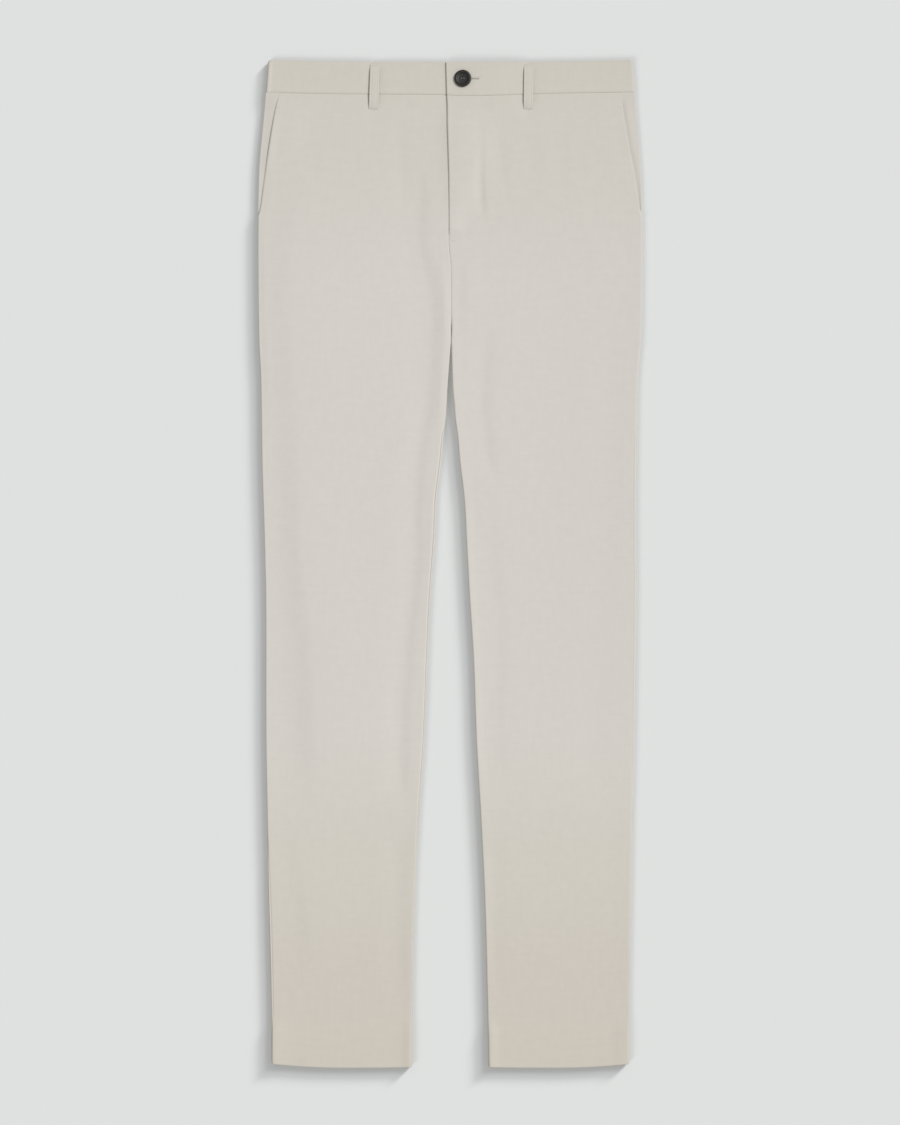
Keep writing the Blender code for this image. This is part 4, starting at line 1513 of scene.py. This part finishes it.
bm = bmesh.new()
face = Vector((0, 0, DISH * BUTTON_HEIGHT * MM))
upper_right, upper_left, lower_left, lower_right = hole_places
for top_hole, bottom_hole in ((upper_right, lower_right), (upper_left, lower_left)):
    for k in range(BUTTON_STRANDS):
        from_middle = k - (BUTTON_STRANDS - 1) / 2
        beside = Vector((from_middle * BUTTON_THREAD * STRANDS_APART * MM, 0, 0))
        start, end = top_hole + face + beside, bottom_hole + face + beside
        add_strand(bm, start, end, BUTTON_THREAD, STRAND_RISE)
neck = Matrix.Translation(button_middle - Vector((0, 0, SOLID_GAP / 2 * MM)))
bmesh.ops.create_cone(
    bm, cap_ends=True, segments=NECK_SIDES, radius1=NECK_RADIUS * MM, radius2=NECK_RADIUS * MM,
    depth=SOLID_GAP * MM, matrix=neck,
)
button_thread = finish_thread(bm, "button_thread")

# %% [markdown]
# ## The knit
# Ponte is a firm double knit. Seen close, its face has fine upright wales of stitches. From a
# step away it looks matt and even, with a faint mottle from the blended yarn and faint streaks
# along both ways of the knit. These are computed on the map of the flat cloth, in metres. On top
# of them the colour carries painted shade: darker and warmer towards the waist and the hems.

# %% Nodes for the cloth
def add_node(tree, kind, inputs=(), **settings):
    """A node with its settings, whose inputs take plain values or the outputs of other nodes."""
    node = tree.nodes.new(kind)
    for name, value in settings.items():
        setattr(node, name, value)
    for name, value in dict(inputs).items():
        if isinstance(value, bpy.types.NodeSocket):
            tree.links.new(value, node.inputs[name])
        else:
            node.inputs[name].default_value = value
    return node


def calculate(tree, operation, one, other=0.0):
    inputs = {0: one, 1: other}
    return add_node(tree, "ShaderNodeMath", inputs, operation=operation).outputs[0]


def mottle(tree, flat, scale, stretch, amount):
    """Noise around 1 that varies by the given amount, with spots 1/scale metres wide."""
    mapped = add_node(tree, "ShaderNodeMapping", {"Vector": flat, "Scale": stretch})
    inputs = {"Vector": mapped.outputs[0], "Scale": scale, "Detail": 2.0, "Roughness": 0.5}
    noise = add_node(tree, "ShaderNodeTexNoise", inputs, noise_dimensions="2D")
    centred = calculate(tree, "SUBTRACT", noise.outputs["Fac"], 0.5)
    return calculate(tree, "ADD", calculate(tree, "MULTIPLY", centred, 2 * amount), 1.0)


def ridges(tree, count):
    """A rounded ridge for every whole number of the count."""
    turn = calculate(tree, "MULTIPLY", count, math.pi)
    return calculate(tree, "ABSOLUTE", calculate(tree, "SINE", turn))


WALE = 0.85
COURSE = 0.62
COURSE_SLANT = 0.5
COURSE_SHOWS = 0.6
KNIT_DEPTH = 0.10
KNIT_SHOWS = 0.35
# scale, stretch, amount: the spots, and the streaks along the wales and along the courses.
MOTTLES = (
    (110.0, (1.0, 1.0, 1.0), 0.022),
    (260.0, (1.0, 0.12, 1.0), 0.013),
    (240.0, (0.12, 1.0, 1.0), 0.012),
)
CLOTH_ROUGHNESS = 0.92
CLOTH_SPECULAR = 0.05
# height on the garment, as a share from the hem to the waist, and the colour there: the cloth's
# own tone in the middle, with painted shade that darkens and warms it towards the waist and the
# hems.
CLOTH_TONE_AND_PAINTED_SHADE = (
    (0.00, (0.678, 0.632, 0.556, 1.0)),
    (0.08, (0.684, 0.639, 0.568, 1.0)),
    (0.20, (0.712, 0.674, 0.606, 1.0)),
    (0.34, (0.736, 0.704, 0.650, 1.0)),
    (0.76, (0.736, 0.704, 0.652, 1.0)),
    (0.93, (0.704, 0.671, 0.612, 1.0)),
    (1.00, (0.682, 0.650, 0.576, 1.0)),
)


def cloth_material(name, knit):
    """The cloth's finish, with painted shade towards the waist and the hems. Thread has the same
    colour and shade, and no knit.
    """
    material, shader = new_finish(
        name, Roughness=CLOTH_ROUGHNESS, Specular_IOR_Level=CLOTH_SPECULAR
    )
    tree = material.node_tree
    # The base colour follows the height on the garment: painted shade, darker and warmer towards
    # the waist and the hems.
    spot = add_node(tree, "ShaderNodeTexCoord").outputs["Object"]
    parts = add_node(tree, "ShaderNodeSeparateXYZ", {"Vector": spot})
    from_middle = calculate(tree, "DIVIDE", parts.outputs["Y"], LENGTH * MM)
    up_share = calculate(tree, "ADD", from_middle, 0.5)
    ramp = add_node(tree, "ShaderNodeValToRGB", {"Fac": up_share})
    ramp.color_ramp.interpolation = "EASE"
    elements = ramp.color_ramp.elements
    while len(elements) < len(CLOTH_TONE_AND_PAINTED_SHADE):
        elements.new(0.5)
    for element, (position, colour) in zip(elements, CLOTH_TONE_AND_PAINTED_SHADE):
        element.position, element.color = position, colour
    if not knit:
        tree.links.new(ramp.outputs["Color"], shader.inputs["Base Color"])
        return material

    flat = add_node(tree, "ShaderNodeUVMap", uv_map="flat_cloth").outputs["UV"]
    shade = 1.0
    for scale, stretch, amount in MOTTLES:
        shade = calculate(tree, "MULTIPLY", shade, mottle(tree, flat, scale, stretch, amount))
    inputs = {0: ramp.outputs["Color"], "Scale": shade}
    shaded = add_node(tree, "ShaderNodeVectorMath", inputs, operation="SCALE")
    tree.links.new(shaded.outputs[0], shader.inputs["Base Color"])

    flat_parts = add_node(tree, "ShaderNodeSeparateXYZ", {"Vector": flat})
    wale = calculate(tree, "DIVIDE", flat_parts.outputs["X"], WALE * MM)
    course = calculate(tree, "DIVIDE", flat_parts.outputs["Y"], COURSE * MM)
    slanted = calculate(tree, "ADD", course, calculate(tree, "PINGPONG", wale, COURSE_SLANT))
    stitches = calculate(tree, "MULTIPLY", ridges(tree, slanted), COURSE_SHOWS)
    stitches = calculate(tree, "ADD", stitches, 1 - COURSE_SHOWS)
    height = calculate(tree, "MULTIPLY", ridges(tree, wale), stitches)
    inputs = {"Height": height, "Strength": KNIT_SHOWS, "Distance": KNIT_DEPTH * MM}
    bump = add_node(tree, "ShaderNodeBump", inputs)
    tree.links.new(bump.outputs["Normal"], shader.inputs["Normal"])
    return material


knit_material = cloth_material("ponte_knit", True)
thread_material = cloth_material("cloth_thread", False)
for obj in cloth_pieces:
    obj.data.materials.clear()
    obj.data.materials.append(knit_material)
for obj in thread_pieces:
    obj.data.materials.append(thread_material)
print("cloth on", len(cloth_pieces), "pieces, thread on", len(thread_pieces))

# %% [markdown]
# ## Button plastic
# The button is moulded from dark charcoal plastic. It has a low gloss that is uneven at close
# range, so its rim catches a soft light instead of a sharp line.

# %% The button's finish
PLASTIC_COLOUR = (0.011, 0.010, 0.008, 1.0)
THREAD_COLOUR = (0.150, 0.156, 0.158, 1.0)
THREAD_ROUGHNESS = 0.8
PLASTIC_ROUGHNESS = 0.46
UNEVEN = 0.16
UNEVEN_SCALE = 900.0

plastic, shader = new_finish("button_charcoal", Base_Color=PLASTIC_COLOUR)
tree = plastic.node_tree
spot = add_node(tree, "ShaderNodeTexCoord").outputs["Object"]
inputs = {"Vector": spot, "Scale": UNEVEN_SCALE, "Detail": 3.0}
grain = add_node(tree, "ShaderNodeTexNoise", inputs)
rough = calculate(tree, "MULTIPLY", grain.outputs["Fac"], UNEVEN)
rough = calculate(tree, "ADD", rough, PLASTIC_ROUGHNESS - UNEVEN / 2)
tree.links.new(rough, shader.inputs["Roughness"])
button.data.materials.clear()
button.data.materials.append(plastic)

dark_thread, _ = new_finish("dark_thread", Base_Color=THREAD_COLOUR, Roughness=THREAD_ROUGHNESS)
button_thread.data.materials.append(dark_thread)
print("button and its thread are finished")
